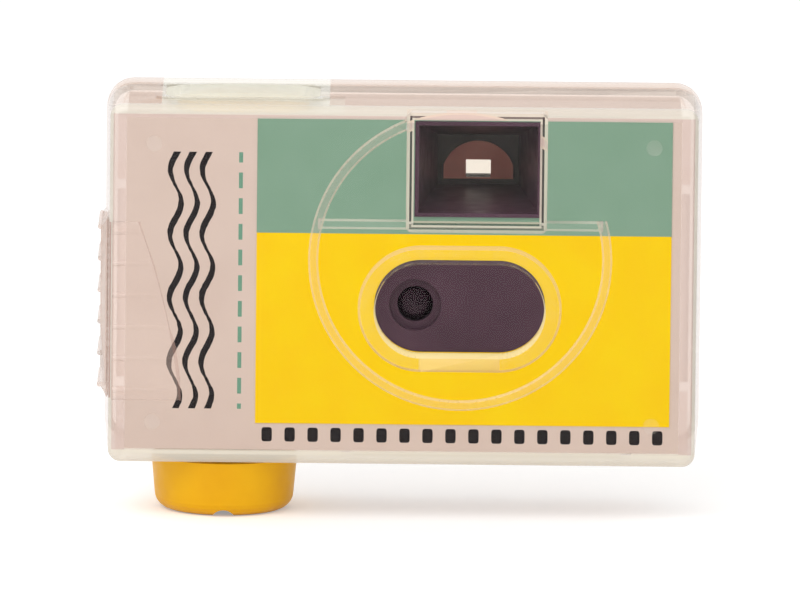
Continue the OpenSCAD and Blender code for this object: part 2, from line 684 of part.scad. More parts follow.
module camera_back() {
  y = [film_rear_y, cam_rear_y];
  color([0.17, 0.17, 0.18]) difference() {
    block([-cam_x, cam_x], y, [-cam_z, cam_z]);
    block([-cam_x - 1, tunnel_x[0]], [y[0] - 1, y[1] + 1], [plate_z, cam_z + 1]);
    rod_z(cassette_x, cassette_y, [cassette_z0, chamber_top], chamber_r);
    rod_z(supply_x, supply_y, [cassette_z0, chamber_top], supply_r);
    block([lip_x - 1, lip_x + 3.6], [y[0] - 1, film_rear_y + 1], [cassette_z0, chamber_top]);
    block([-cam_x + 4, tunnel_x[0] - 2], [y[0] - 1, y[1] - 0.9], [deck_z, cam_z]);
    block([eye_x - eye_half[0], eye_x + eye_half[0]], [y[0] - 1, y[1] + 1],
      [eye_z - eye_half[1], eye_z + eye_half[1]]);
  }
}

module top_plate() {
  z = [plate_z, cam_z];
  color([0.95, 0.94, 0.9]) difference() {
    union() {
      block([-cam_x, tunnel_x[0]], [cam_front_y, cam_rear_y], z);
      rod_z(sprocket_x, sprocket_y, [plate_z - 1.8, plate_z + 0.2], 3);
    }
    oblong_button(button_gap, [plate_z - 1, cam_z + 1]);
    block(counter_window[0], counter_window[1], [plate_z - 1, cam_z + 1]);
    rod_z(sprocket_x, sprocket_y, [plate_z - 3, plate_z], sprocket_shaft_r + running_fit);
  }
}

module taking_lens() {
  front = body_front_y + 0.1;
  color([0.75, 0.8, 0.85, 0.5]) intersection() {
    rod_y(lens_x, lens_z, [front, front + 2.4], lens_r);
    translate([lens_x, front + 10, lens_z]) sphere(r = 10, $fn = 64);
  }
}

module lens_barrel() {
  color([0.12, 0.12, 0.13]) difference() {
    union() {
      rod_y(lens_x, lens_z, [body_front_y, recess_y - 1.6], lens_r + 1.4);
      block([lens_x - 8.5, lens_x + 12], [recess_y - 2.8, recess_y - 1.6], [lens_z - 11, lens_z + 11]);
    }
    rod_y(lens_x, lens_z, [body_front_y - 1, body_front_y + 2.5], lens_r);
    rod_y(lens_x, lens_z, [body_front_y, recess_y], 3.2);
    rod_y(pivot_x, pivot_z, [recess_y - 4, recess_y], 6);
  }
}

module shutter_blade() {
  color([0.25, 0.25, 0.27]) difference() {
    union() {
      rod_y(lens_x, lens_z, blade_y, 3.2);
      rod_y(pivot_x, pivot_z, blade_y, 2.2);
      translate([pivot_x, 0, pivot_z]) rotate([0, -blade_angle, 0])
        block([-1.2, 1.2], blade_y, [-blade_reach, 0]);
      block([pivot_x - 0.8, pivot_x + 0.8], blade_y, [pivot_z, tail_z]);
    }
    rod_y(pivot_x, pivot_z, [blade_y[0] - 1, blade_y[1] + 1], pivot_r + running_fit);
  }
}

module shutter_pivot() {
  color([0.75, 0.76, 0.78]) {
    rod_y(pivot_x, pivot_z, [recess_y - 3, recess_y + 2], pivot_r);
    rod_y(pivot_x, pivot_z, [recess_y - 3.6, recess_y - 3], 2);
  }
}

module shutter_spring() {
  color([0.7, 0.71, 0.73]) translate([pivot_x, recess_y - 1.6, pivot_z]) rotate([90, 0, 0])
    coil(1.3, 2, pivot_r + 0.3, 0.12);
}

module striker() {
  arm = [striker_tip[0] - striker_x, striker_tip[1] - striker_y];
  reach = norm(arm);
  heel = striker_x - sprocket_x - cam_r - 1.9;
  color([0.78, 0.79, 0.8]) difference() {
    union() {
      rod_z(striker_x, striker_y, striker_z, 2.2);
      translate([striker_x, striker_y, 0]) rotate([0, 0, atan2(arm[1], arm[0])])
        block([post_r + 0.5, reach], [-0.8, 0.8], striker_z);
      translate([striker_x, striker_y, 0]) rotate([0, 0, 165])
        block([post_r + 0.5, heel], [-0.8, 0.8], striker_z);
    }
    rod_z(striker_x, striker_y, [striker_z[0] - 1, striker_z[1] + 1], post_r + running_fit);
  }
}

module striker_spring() {
  color([0.7, 0.71, 0.73]) translate([striker_x, striker_y, striker_z[1] + 0.6])
    coil(2, 3, post_r + 0.25, 0.15);
}

module trip_lever() {
  y = [stem_y - 0.9, stem_y + 0.9];
  color([0.85, 0.85, 0.83]) difference() {
    union() {
      block([stem_x[1] - 1, striker_x - 2.2], y, lever_z);
      rod_y(lever_pivot_x, lever_pin_z, y, 1.1);
    }
    rod_y(lever_pivot_x, lever_pin_z, [y[0] - 1, y[1] + 1], lever_pin_r + running_fit);
  }
}

module trip_pin() {
  color([0.75, 0.76, 0.78]) rod_y(lever_pivot_x, lever_pin_z, [stem_y - 1.9, stem_y + 1.9], lever_pin_r);
}

module oblong_button(grow, z) {
  oblong_z(release_x, release_y, button_length + 2 * grow, button_width + 2 * grow, z);
}

module shutter_button() {
  color([0.95, 0.68, 0.1]) {
    intersection() {
      oblong_button(0, [flange_z[0], button_top + 1]);
      rod_y(release_x, button_top - crown_r, [release_y - 20, release_y + 20], crown_r, $fn = 200);
    }
    oblong_button(button_gap + 1, flange_z);
    rod_z(stem_x[0], stem_y, [deck_z + button_travel + 0.4, flange_z[0] + 0.2], stem_r);
    rod_z(stem_x[1], stem_y, [lever_z[1] + 0.02, flange_z[0] + 0.2], stem_r);
  }
}

module button_spring() {
  color([0.7, 0.71, 0.73]) translate([stem_x[0], stem_y, deck_z])
    coil(flange_z[0] - deck_z, 4, stem_r + 0.9, 0.35);
}

module sprocket_wheel() {
  mid = (sprocket_z[0] + sprocket_z[1]) / 2;
  color([0.88, 0.88, 0.86]) {
    rod_z(sprocket_x, sprocket_y, sprocket_z, sprocket_r - 1.5);
    rod_z(sprocket_x, sprocket_y, [sprocket_z[0] - 1.6, sprocket_top], sprocket_shaft_r);
    for (i = [0 : 7]) translate([sprocket_x, sprocket_y, 0]) rotate([0, 0, i * 45 + 22.5])
      block([0, sprocket_r], [-0.7, 0.7], [mid - 0.7, mid + 0.7]);
  }
}

module counter_cam() {
  color([0.8, 0.8, 0.78]) difference() {
    union() {
      rod_z(sprocket_x, sprocket_y, [striker_z[0], counter_z[1]], cam_r);
      translate([sprocket_x, sprocket_y, 0]) rotate([0, 0, 60]) block([0, cam_tooth_r], [-0.6, 0.6], counter_z);
    }
    rod_z(sprocket_x, sprocket_y, [deck_z - 1, counter_z[1] + 1], sprocket_shaft_r);
  }
}

module counter_disc() {
  color([0.95, 0.95, 0.93]) difference() {
    rod_z(counter_x, counter_y, counter_z, counter_r);
    rod_z(counter_x, counter_y, [counter_z[0] - 1, counter_z[1] + 1], post_r + running_fit);
    for (i = [0 : 27]) translate([counter_x, counter_y, 0]) rotate([0, 0, i * 360 / 28])
      block([counter_r - 0.7, counter_r + 1], [-0.35, 0.35], [counter_z[0] - 1, counter_z[1] + 1]);
  }
}

module finder_tunnel() {
  front = [tunnel_x[0] + tunnel_t, tunnel_x[1] - tunnel_t];
  color([0.13, 0.11, 0.12]) difference() {
    tunnel_form(0, [tunnel_front_y, film_rear_y]);
    block(front, [tunnel_front_y - 1, tunnel_front_y + 3], [tunnel_z[0] + tunnel_t, tunnel_z[1] - tunnel_t]);
    hull() {
      block(front, [tunnel_front_y + 2, tunnel_front_y + 2.9], [tunnel_z[0] + tunnel_t, tunnel_z[1] - tunnel_t]);
      block([eye_x - mask_width / 2 - 1, eye_x + mask_width / 2 + 1], [film_rear_y, film_rear_y + 1],
        [eye_z - eye_height / 2 - 1.4, eye_z - eye_height / 2 + mask_radius + 1]);
    }
  }
}

module finder_front_lens() {
  y = [tunnel_front_y + 0.4, tunnel_front_y + 1.6];
  color([0.8, 0.84, 0.88, 0.4])
    block([tunnel_x[0] + tunnel_t, tunnel_x[1] - tunnel_t], y, [tunnel_z[0] + tunnel_t, tunnel_z[1] - tunnel_t]);
}

module finder_rear_lens() {
  color([0.8, 0.84, 0.88, 0.4]) block([eye_x - eye_half[0], eye_x + eye_half[0]],
    [film_rear_y + 1.6, film_rear_y + 3], [eye_z - eye_half[1], eye_z + eye_half[1]]);
}

module eyepiece_mask() {
  y = [film_rear_y - 0.6, film_rear_y];
  color([0.4, 0.24, 0.2]) difference() {
    intersection() {
      rod_y(eye_x, eye_z - eye_height / 2, y, mask_radius);
      block([eye_x - mask_width / 2, eye_x + mask_width / 2], y,
        [eye_z - eye_height / 2 - 0.3, eye_z - eye_height / 2 + mask_radius]);
    }
    block([eye_x - eye_width / 2, eye_x + eye_width / 2], [y[0] - 1, y[1] + 1],
      [eye_z - eye_height / 2, eye_z + eye_height / 2]);
  }
}

module cassette_shell() {
  z = [cassette_z0 + 1, cassette_z1 - 1];
  color([0.3, 0.42, 0.4]) difference() {
    union() {
      difference() {
        rod_z(cassette_x, cassette_y, z, cassette_r);
        rod_z(cassette_x, cassette_y, [z[0] - 1, z[1] + 1], cassette_r - 0.4);
      }
      block([lip_x - 0.5, lip_x + 3.2], [film_front_y - 0.8, film_rear_y + 0.8], z);
    }
    block([lip_x - 2, lip_x + 4], [film_front_y, film_rear_y], [film_z[0], film_z[1]]);
  }
}

module cassette_cap(z) {
  color([0.18, 0.18, 0.19]) difference() {
    rod_z(cassette_x, cassette_y, z, cassette_r);
    rod_z(cassette_x, cassette_y, [z[0] - 1, z[1] + 1], spool_r + running_fit);
  }
}

module cassette_cap_top() {
  cassette_cap([cassette_z1 - 1, cassette_z1]);
}

module cassette_cap_bottom() {
  cassette_cap([cassette_z0, cassette_z0 + 1]);
}

module cassette_spool() {
  z = [cassette_z0 - spool_foot, cassette_z1 + spool_head];
  color([0.1, 0.1, 0.1]) {
    difference() {
      rod_z(cassette_x, cassette_y, z, spool_r);
      rod_z(cassette_x, cassette_y, [z[0] - 1, z[1] + 1], spool_bore);
    }
    block([cassette_x - 0.7, cassette_x + 0.7], [cassette_y - spool_bore - 0.4, cassette_y + spool_bore + 0.4],
      [cassette_z0 + 1, cassette_z0 + 6]);
  }
}

module film_strip() {
  x = [cassette_x + film_start, supply_x - film_end];
  color([0.35, 0.25, 0.2]) difference() {
    block(x, [film_front_y, film_rear_y], film_z);
    for (px = [x[0] + 4 : 4.75 : x[1] - 2], pz = [film_z[0] + 2, film_z[1] - 2])
      block([px, px + 1.98], [film_front_y - 1, film_rear_y + 1], [pz - 1.4, pz + 1.4]);
  }
}

module film_roll() {
  color([0.35, 0.25, 0.2]) difference() {
    rod_z(supply_x, supply_y, film_z, roll_radius);
    rod_z(supply_x, supply_y, [film_z[0] - 1, film_z[1] + 1], 4);
  }
}

module supply_spool() {
  color([0.12, 0.12, 0.12]) {
    rod_z(supply_x, supply_y, [film_z[0] - 1.2, film_z[1] + 1.2], 4);
    rod_z(supply_x, supply_y, [film_z[0] - 1.2, film_z[0]], roll_radius - 0.5);
    rod_z(supply_x, supply_y, [cassette_z0 - 2, chamber_top + 2], sprocket_shaft_r);
  }
}

housing_front();
housing_rear();
housing_seal();
release_diaphragm();
winding_knob();
knob_shaft();
knob_seal();
knob_gland();
gland_ring();
knob_clip();
card_sleeve();
green_sheet();
yellow_sheet();
camera_front();
camera_body();
camera_back();
top_plate();
taking_lens();
lens_barrel();
shutter_blade();
shutter_pivot();
shutter_spring();
striker();
striker_spring();
trip_lever();
trip_pin();
shutter_button();
button_spring();
sprocket_wheel();
counter_cam();
counter_disc();
finder_tunnel();
finder_front_lens();
finder_rear_lens();
eyepiece_mask();
cassette_shell();
cassette_cap_top();
cassette_cap_bottom();
cassette_spool();
film_strip();
film_roll();
supply_spool();
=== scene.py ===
"""Looks of a waterproof single-use film camera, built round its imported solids."""

import logging
import math
from dataclasses import dataclass
from enum import Enum
from typing import Callable, Optional, Protocol, Union

import bmesh
import bpy
from mathutils import Euler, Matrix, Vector


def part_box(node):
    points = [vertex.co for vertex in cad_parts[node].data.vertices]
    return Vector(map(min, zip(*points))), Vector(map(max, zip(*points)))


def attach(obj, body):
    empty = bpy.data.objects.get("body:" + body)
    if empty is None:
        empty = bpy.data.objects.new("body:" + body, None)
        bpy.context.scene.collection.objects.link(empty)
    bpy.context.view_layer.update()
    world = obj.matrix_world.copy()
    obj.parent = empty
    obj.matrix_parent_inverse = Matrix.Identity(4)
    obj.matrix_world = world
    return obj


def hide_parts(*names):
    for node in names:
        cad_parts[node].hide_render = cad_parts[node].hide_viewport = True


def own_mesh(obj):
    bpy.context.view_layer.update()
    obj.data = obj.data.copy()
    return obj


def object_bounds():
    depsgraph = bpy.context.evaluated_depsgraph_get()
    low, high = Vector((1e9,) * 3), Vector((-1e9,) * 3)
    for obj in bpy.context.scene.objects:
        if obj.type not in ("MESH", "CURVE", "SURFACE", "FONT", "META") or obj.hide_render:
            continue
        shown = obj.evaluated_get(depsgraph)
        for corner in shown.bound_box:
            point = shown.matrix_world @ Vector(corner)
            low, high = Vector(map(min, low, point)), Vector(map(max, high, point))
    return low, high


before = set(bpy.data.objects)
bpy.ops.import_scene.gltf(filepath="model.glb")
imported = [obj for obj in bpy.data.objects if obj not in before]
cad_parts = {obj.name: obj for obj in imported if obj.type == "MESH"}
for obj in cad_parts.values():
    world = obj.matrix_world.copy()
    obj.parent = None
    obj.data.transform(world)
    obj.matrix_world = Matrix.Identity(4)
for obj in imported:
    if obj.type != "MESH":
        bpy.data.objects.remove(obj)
cad_low, cad_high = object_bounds()

LOG = logging.getLogger("film_camera")
MM = 0.001

Tone = tuple[float, float, float, float]
Feed = Union[float, Tone, tuple[float, float, float], bpy.types.NodeSocket]


def tone(red: int, green: int, blue: int) -> Tone:
    """Turn a colour as seen on the object into the linear colour of a shader.

    Args:
        red: Red, 0 to 255.
        green: Green, 0 to 255.
        blue: Blue, 0 to 255.

    Returns:
        The linear colour with an alpha of 1.
    """
    def linear(level: int) -> float:
        """One channel without its display curve."""
        share = level / 255
        return share / 12.92 if share <= 0.04045 else ((share + 0.055) / 1.055) ** 2.4

    return linear(red), linear(green), linear(blue), 1.0


class Axis(Enum):
    """The part's own directions: X right, Y to the rear, Z up."""

    X = 0
    Y = 1
    Z = 2


class Recipe:
    """One material's nodes while they are put together."""

    def __init__(self, name: str) -> None:
        """Start an empty material.

        Args:
            name: The material's name.
        """
        self.material = bpy.data.materials.new(name)
        self.material.use_nodes = True
        self.tree = self.material.node_tree
        self.tree.nodes.clear()
        self.output = self.tree.nodes.new("ShaderNodeOutputMaterial")
        self._split: Optional[bpy.types.Node] = None
        self._place: Optional[bpy.types.NodeSocket] = None

    def node(self, kind: str, **settings: object) -> bpy.types.Node:
        """Add a node.

        Args:
            kind: The node's type name.
            **settings: Its properties.

        Returns:
            The new node.
        """
        made = self.tree.nodes.new(kind)
        for key, value in settings.items():
            setattr(made, key, value)
        return made

    def feed(self, socket: bpy.types.NodeSocket, value: Feed) -> None:
        """Link a socket, or set it where the value is plain.

        Args:
            socket: The socket.
            value: What goes into it.
        """
        if isinstance(value, bpy.types.NodeSocket):
            self.tree.links.new(value, socket)
        else:
            socket.default_value = value

    @property
    def place(self) -> bpy.types.NodeSocket:
        """The surface's place on the part, in metres.

        Returns:
            The place's socket.
        """
        if self._place is None:
            self._place = self.node("ShaderNodeTexCoord").outputs["Object"]
        return self._place

    def along(self, axis: Axis) -> bpy.types.NodeSocket:
        """The surface's place along one direction, in metres.

        Args:
            axis: The direction.

        Returns:
            The place's socket.
        """
        if self._split is None:
            self._split = self.node("ShaderNodeSeparateXYZ")
            self.feed(self._split.inputs[0], self.place)
        return self._split.outputs[axis.value]

    def math(self, operation: str, *values: Feed) -> bpy.types.NodeSocket:
        """Do one sum.

        Args:
            operation: The Math node's operation.
            *values: Its inputs, numbers or sockets.

        Returns:
            The result's socket.
        """
        made = self.node("ShaderNodeMath", operation=operation)
        for socket, value in zip(made.inputs, values):
            self.feed(socket, value)
        return made.outputs[0]

    def both(self, first: Feed, *others: Feed) -> bpy.types.NodeSocket:
        """Multiply masks together, so that only what lies in all of them is left.

        Args:
            first: The first mask.
            *others: The other masks.

        Returns:
            The mask that is left.
        """
        result = first
        for other in others:
            result = self.math("MULTIPLY", result, other)
        return result

    def noise(
        self, scale: float, detail: float = 2.0, stretch: tuple[float, float, float] = (1, 1, 1)
    ) -> bpy.types.NodeSocket:
        """Even mottling.

        Args:
            scale: Patches per metre.
            detail: Octaves of finer mottling.
            stretch: How much denser it is along each direction.

        Returns:
            Its level, 0 to 1.
        """
        spread = self.node("ShaderNodeMapping")
        self.feed(spread.inputs["Vector"], self.place)
        spread.inputs["Scale"].default_value = stretch
        made = self.node("ShaderNodeTexNoise")
        self.feed(made.inputs["Vector"], spread.outputs[0])
        made.inputs["Scale"].default_value = scale
        made.inputs["Detail"].default_value = detail
        return made.outputs[0]

    def remap(
        self, level: Feed, low: float, high: float, start: float = 0.3, stop: float = 0.7
    ) -> bpy.types.NodeSocket:
        """Spread a level between two values.

        Args:
            level: What is spread.
            low: The result at start.
            high: The result at stop.
            start: The level that gives low.
            stop: The level that gives high.

        Returns:
            The result's socket.
        """
        made = self.node("ShaderNodeMapRange")
        for socket, value in zip(made.inputs, (level, start, stop, low, high)):
            self.feed(socket, value)
        return made.outputs[0]

    def mix(self, share: Feed, first: Feed, second: Feed) -> bpy.types.NodeSocket:
        """Blend two colours.

        Args:
            share: How much of the second shows.
            first: The first colour.
            second: The second colour.

        Returns:
            The blended colour.
        """
        made = self.node("ShaderNodeMix", data_type="RGBA")
        self.feed(made.inputs[0], share)
        self.feed(made.inputs[6], first)
        self.feed(made.inputs[7], second)
        return made.outputs[2]

    def blend(self, share: Feed, first: Feed, second: Feed) -> bpy.types.NodeSocket:
        """Blend two shaders.

        Args:
            share: How much of the second shows.
            first: The first shader.
            second: The second shader.

        Returns:
            The blended shader.
        """
        made = self.node("ShaderNodeMixShader")
        for socket, value in zip(made.inputs, (share, first, second)):
            self.feed(socket, value)
        return made.outputs[0]

    def within(self, axis: Axis, low: float, high: float) -> bpy.types.NodeSocket:
        """A mask that is 1 between two places along a direction.

        Args:
            axis: The direction.
            low: Where it starts, in metres.
            high: Where it stops, in metres.

        Returns:
            The mask.
        """
        place = self.along(axis)
        return self.both(self.math("GREATER_THAN", place, low), self.math("LESS_THAN", place, high))

    def relief(self, height: Feed, depth: float, strength: float = 0.6) -> bpy.types.NodeSocket:
        """Raise the surface a little.

        Args:
            height: How high each spot stands, 0 to 1.
            depth: The full height in metres.
            strength: How strongly it shades.

        Returns:
            The changed normal.
        """
        made = self.node("ShaderNodeBump")
        made.inputs["Strength"].default_value = strength
        made.inputs["Distance"].default_value = depth
        self.feed(made.inputs["Height"], height)
        return made.outputs[0]

    def surface(self, **inputs: Feed) -> bpy.types.Node:
        """Add the main shader.

        Args:
            **inputs: Its inputs by name, with _ for a space.

        Returns:
            The shader's node.
        """
        made = self.node("ShaderNodeBsdfPrincipled")
        for key, value in inputs.items():
            self.feed(made.inputs[key.replace("_", " ")], value)
        return made

    def lit_through(self, shader: bpy.types.NodeSocket) -> bpy.types.NodeSocket:
        """Let light reach what lies behind a clear piece.

        Args:
            shader: What is seen of the piece.

        Returns:
            The shader that holds back no light.
        """
        path = self.node("ShaderNodeLightPath")
        through = self.node("ShaderNodeBsdfTransparent")
        lit = self.math("MAXIMUM", path.outputs["Is Shadow Ray"], path.outputs["Is Diffuse Ray"])
        return self.blend(lit, shader, through.outputs[0])

    def finish(self, shader: bpy.types.NodeSocket) -> bpy.types.Material:
        """Link the shader to the output and give back the material."""
        self.feed(self.output.inputs["Surface"], shader)
        return self.material


class Finish(Protocol):
    """What every finish has: a name, and the material that it makes."""

    name: str

    def make(self) -> bpy.types.Material:
        """Make the material."""


@dataclass(frozen=True)
class MouldedPlastic:
    """Solid moulded plastic with a fine tool grain and a slight drift of colour."""

    name: str
    colour: Tone
    drift: Tone
    rough: tuple[float, float] = (0.34, 0.5)
    grain: float = 2600.0
    depth: float = 0.00003
    shine: float = 0.5

    def make(self) -> bpy.types.Material:
        """Make the material.

        Returns:
            The material.
        """
        recipe = Recipe(self.name)
        cloud = recipe.noise(90.0, 3.0)
        grain = recipe.noise(self.grain, 2.0)
        shader = recipe.surface(
            Base_Color=recipe.mix(recipe.remap(cloud, 0.0, 1.0), self.colour, self.drift),
            Roughness=recipe.remap(recipe.noise(420.0, 4.0), *self.rough),
            Specular_IOR_Level=self.shine,
            Normal=recipe.relief(grain, self.depth),
        )
        return recipe.finish(shader.outputs[0])


@dataclass(frozen=True)
class PaintedHazeBand:
    """A layer of the part painted with pale milky haze, standing in for the light that moulded relief, ribs and
    pegs of clear plastic refract.
    """

    front: float
    rear: float
    level: float


@dataclass(frozen=True)
class Oblong:
    """A rectangle on the front, by its middle and its half size across and up."""

    centre: tuple[float, float]
    half: tuple[float, float]

    def beyond(self, recipe: Recipe) -> bpy.types.NodeSocket:
        """How far a place lies outside the outline, in metres.

        Args:
            recipe: The material in the making.

        Returns:
            The distance, below 0 inside.
        """
        sides = []
        for axis, middle, half in zip((Axis.X, Axis.Z), self.centre, self.half):
            off = recipe.math("ABSOLUTE", recipe.math("SUBTRACT", recipe.along(axis), middle))
            sides.append(recipe.math("SUBTRACT", off, half))
        return recipe.math("MAXIMUM", *sides)


@dataclass(frozen=True)
class Loop:
    """Two half circles on the front with straight runs between them, or a circle where these are 0."""

    centre: tuple[float, float]
    straight: float
    radius: float

    def beyond(self, recipe: Recipe) -> bpy.types.NodeSocket:
        """How far a place lies outside the outline, in metres.

        Args:
            recipe: The material in the making.

        Returns:
            The distance, below 0 inside.
        """
        across = recipe.math("ABSOLUTE", recipe.math("SUBTRACT", recipe.along(Axis.X), self.centre[0]))
        past = recipe.math("MAXIMUM", recipe.math("SUBTRACT", across, self.straight), 0.0)
        upright = recipe.math("SUBTRACT", recipe.along(Axis.Z), self.centre[1])
        squares = recipe.math("ADD", recipe.both(past, past), recipe.both(upright, upright))
        return recipe.math("SUBTRACT", recipe.math("SQRT", squares), self.radius)


@dataclass(frozen=True)
class PaintedLightStrip:
    """A strip along an outline, painted with one colour that stands in for the highlights, shade and refracted
    colour that thick edges and raised relief of clear plastic show.
    """

    outline: Union[Oblong, Loop]
    span: tuple[float, float]
    rear: float
    level: float
    colour: Tone

    def mask(self, recipe: Recipe) -> bpy.types.NodeSocket:
        """A mask that is 1 on the strip.

        Args:
            recipe: The material in the making.

        Returns:
            The mask.
        """
        out = self.outline.beyond(recipe)
        return recipe.both(
            recipe.math("GREATER_THAN", out, self.span[0]),
            recipe.math("LESS_THAN", out, self.span[1]),
            recipe.math("LESS_THAN", recipe.along(Axis.Y), self.rear),
        )


@dataclass(frozen=True)
class ClearPlastic:
    """Clear moulded plastic: see-through face on, milky where it is seen edge on, and glossy outside, with painted
    light laid by place in strips and bands: highlights, shade and refracted colour of its thick edges and relief.
    """

    name: str
    tint: Tone
    milk: Tone
    haze: float = 0.004
    edge: float = 0.7
    edge_from: float = 0.88
    core: tuple[tuple[float, float], ...] = ()
    painted_bands: tuple[PaintedHazeBand, ...] = ()
    window: Optional[PaintedLightStrip] = None
    painted_strips: tuple[PaintedLightStrip, ...] = ()
    rough: tuple[float, float] = (0.03, 0.1)
    ripple: float = 0.00002

    def make(self) -> bpy.types.Material:
        """Make the material.

        Returns:
            The material.
        """
        recipe = Recipe(self.name)
        scuff = recipe.noise(700.0, 6.0, (1.0, 1.0, 0.25))
        normal = recipe.relief(recipe.noise(60.0, 1.0), self.ripple, 0.25)
        turned = recipe.node("ShaderNodeLayerWeight")
        turned.inputs["Blend"].default_value = 0.5
        facing = turned.outputs["Facing"]
        outside = self.outside(recipe)
        through = recipe.node("ShaderNodeBsdfTransparent")
        through.inputs["Color"].default_value = self.tint
        gloss = recipe.node("ShaderNodeBsdfGlossy")
        gloss.inputs["Color"].default_value = (1.0, 1.0, 1.0, 1.0)
        recipe.feed(gloss.inputs["Roughness"], recipe.remap(scuff, *self.rough, 0.5, 0.8))
        recipe.feed(gloss.inputs["Normal"], normal)
        mirror = recipe.remap(recipe.math("POWER", facing, 9.0), 0.004, 0.9, 0.0, 1.0)
        clear = recipe.blend(recipe.both(mirror, outside), through.outputs[0], gloss.outputs[0])
        level = recipe.both(recipe.remap(facing, self.haze, self.edge, self.edge_from, 1.0), outside)
        allowed = self.allowed(recipe)
        level = self.painted_haze(recipe, level, allowed)
        colour = recipe.mix(recipe.noise(200.0, 3.0), self.milk, tone(246, 236, 230))
        # Painted light: each strip lays its colour and milkiness by place, as highlights, shade and refracted
        # colour of thick edges and relief; the milky shader below carries them.
        for strip in self.painted_strips:
            spot = recipe.both(strip.mask(recipe), allowed)
            colour = recipe.mix(spot, colour, strip.colour)
            level = recipe.math("MAXIMUM", level, recipe.math("MULTIPLY", spot, strip.level))
        milk = recipe.surface(Base_Color=colour, Roughness=0.2, Specular_IOR_Level=0.25, Normal=normal)
        return recipe.finish(recipe.lit_through(recipe.blend(level, clear, milk.outputs[0])))

    def outside(self, recipe: Recipe) -> Feed:
        """A mask that is 0 on faces inside the hollow, which neither shine nor look milky.

        Args:
            recipe: The material in the making.

        Returns:
            The mask.
        """
        if not self.core:
            return 1.0
        inside: Feed = 1.0
        for axis, reach in zip(Axis, self.core):
            inside = recipe.both(inside, recipe.within(axis, *reach))
        return recipe.math("SUBTRACT", 1.0, inside)

    def allowed(self, recipe: Recipe) -> Feed:
        """A mask that is 0 where the plastic stays clear to look through.

        Args:
            recipe: The material in the making.

        Returns:
            The mask.
        """
        if not self.window:
            return 1.0
        return recipe.math("SUBTRACT", 1.0, self.window.mask(recipe))

    def painted_haze(self, recipe: Recipe, level: bpy.types.NodeSocket, allowed: Feed) -> bpy.types.NodeSocket:
        """Add the painted haze of the bands, pale milkiness laid by depth, to a level of milkiness.

        Args:
            recipe: The material in the making.
            level: The level so far, 0 to 1.
            allowed: Where there may be painted haze.

        Returns:
            The new level.
        """
        mottle = recipe.remap(recipe.noise(330.0, 3.0), 0.75, 1.25)
        for band in self.painted_bands:
            inside = recipe.within(Axis.Y, band.front, band.rear)
            level = recipe.math("MAXIMUM", level, recipe.both(inside, mottle, allowed, band.level))
        return level


@dataclass(frozen=True)
class SoftVinyl:
    """Milky flexible vinyl, thin enough for colour under it to show faintly."""

    name: str
    colour: Tone
    cover: float = 0.7

    def make(self) -> bpy.types.Material:
        """Make the material.

        Returns:
            The material.
        """
        recipe = Recipe(self.name)
        cloud = recipe.noise(260.0, 3.0)
        shader = recipe.surface(
            Base_Color=recipe.mix(recipe.remap(cloud, 0.0, 0.3), self.colour, tone(232, 226, 208)),
            Roughness=recipe.remap(recipe.noise(900.0, 3.0), 0.38, 0.55),
            Normal=recipe.relief(recipe.noise(3200.0, 2.0), 0.00003),
        )
        through = recipe.node("ShaderNodeBsdfTransparent")
        return recipe.finish(recipe.blend(self.cover, through.outputs[0], shader.outputs[0]))


@dataclass(frozen=True)
class Rubber:
    """Matt rubber with a dusty bloom."""

    name: str
    colour: Tone
    bloom: Tone

    def make(self) -> bpy.types.Material:
        """Make the material.

        Returns:
            The material.
        """
        recipe = Recipe(self.name)
        shader = recipe.surface(
            Base_Color=recipe.mix(recipe.remap(recipe.noise(500.0, 4.0), 0.0, 0.6), self.colour, self.bloom),
            Roughness=recipe.remap(recipe.noise(1200.0, 2.0), 0.6, 0.8),
            Normal=recipe.relief(recipe.noise(5000.0, 2.0), 0.00004),
        )
        return recipe.finish(shader.outputs[0])


@dataclass(frozen=True)
class BrightSteel:
    """Drawn or rolled steel with fine streaks."""

    name: str
    streak: tuple[float, float, float] = (1.0, 1.0, 14.0)

    def make(self) -> bpy.types.Material:
        """Make the material.

        Returns:
            The material.
        """
        recipe = Recipe(self.name)
        lines = recipe.noise(1500.0, 3.0, self.streak)
        shader = recipe.surface(
            Base_Color=recipe.mix(lines, tone(196, 197, 200), tone(226, 226, 228)),
            Metallic=1.0,
            Roughness=recipe.remap(lines, 0.22, 0.4),
            Normal=recipe.relief(lines, 0.00001, 0.3),
        )
        return recipe.finish(shader.outputs[0])


@dataclass(frozen=True)
class PaintedTin:
    """Thin tin with a printed coat, worn bright in a few specks."""

    name: str
    colour: Tone
    stripe: Tone
    split: float

    def make(self) -> bpy.types.Material:
        """Make the material.

        Returns:
            The material.
        """
        recipe = Recipe(self.name)
        band = recipe.math("GREATER_THAN", recipe.along(Axis.Z), self.split)
        coat = recipe.mix(band, self.colour, self.stripe)
        wear = recipe.remap(recipe.noise(900.0, 6.0), 0.0, 1.0, 0.7, 0.76)
        shader = recipe.surface(
            Base_Color=recipe.mix(wear, coat, tone(190, 190, 188)),
            Metallic=recipe.math("MULTIPLY", wear, 0.9),
            Roughness=recipe.remap(recipe.noise(300.0, 3.0), 0.3, 0.46),
            Normal=recipe.relief(recipe.noise(1800.0, 2.0), 0.00002),
        )
        return recipe.finish(shader.outputs[0])


@dataclass(frozen=True)
class FilmBase:
    """Film with its brown emulsion and a faint drying pattern."""

    name: str
    colour: Tone
    rings: bool = False

    def make(self) -> bpy.types.Material:
        """Make the material.

        Returns:
            The material.
        """
        recipe = Recipe(self.name)
        cloud = recipe.noise(160.0, 3.0)
        lines = recipe.noise(2400.0, 2.0, (1.0, 1.0, 0.05) if self.rings else (0.2, 1.0, 1.0))
        shader = recipe.surface(
            Base_Color=recipe.mix(recipe.remap(cloud, 0.0, 0.5), self.colour, tone(96, 70, 62)),
            Roughness=recipe.remap(lines, 0.16, 0.32),
            Coat_Weight=0.4,
            Normal=recipe.relief(lines, 0.00004),
        )
        return recipe.finish(shader.outputs[0])


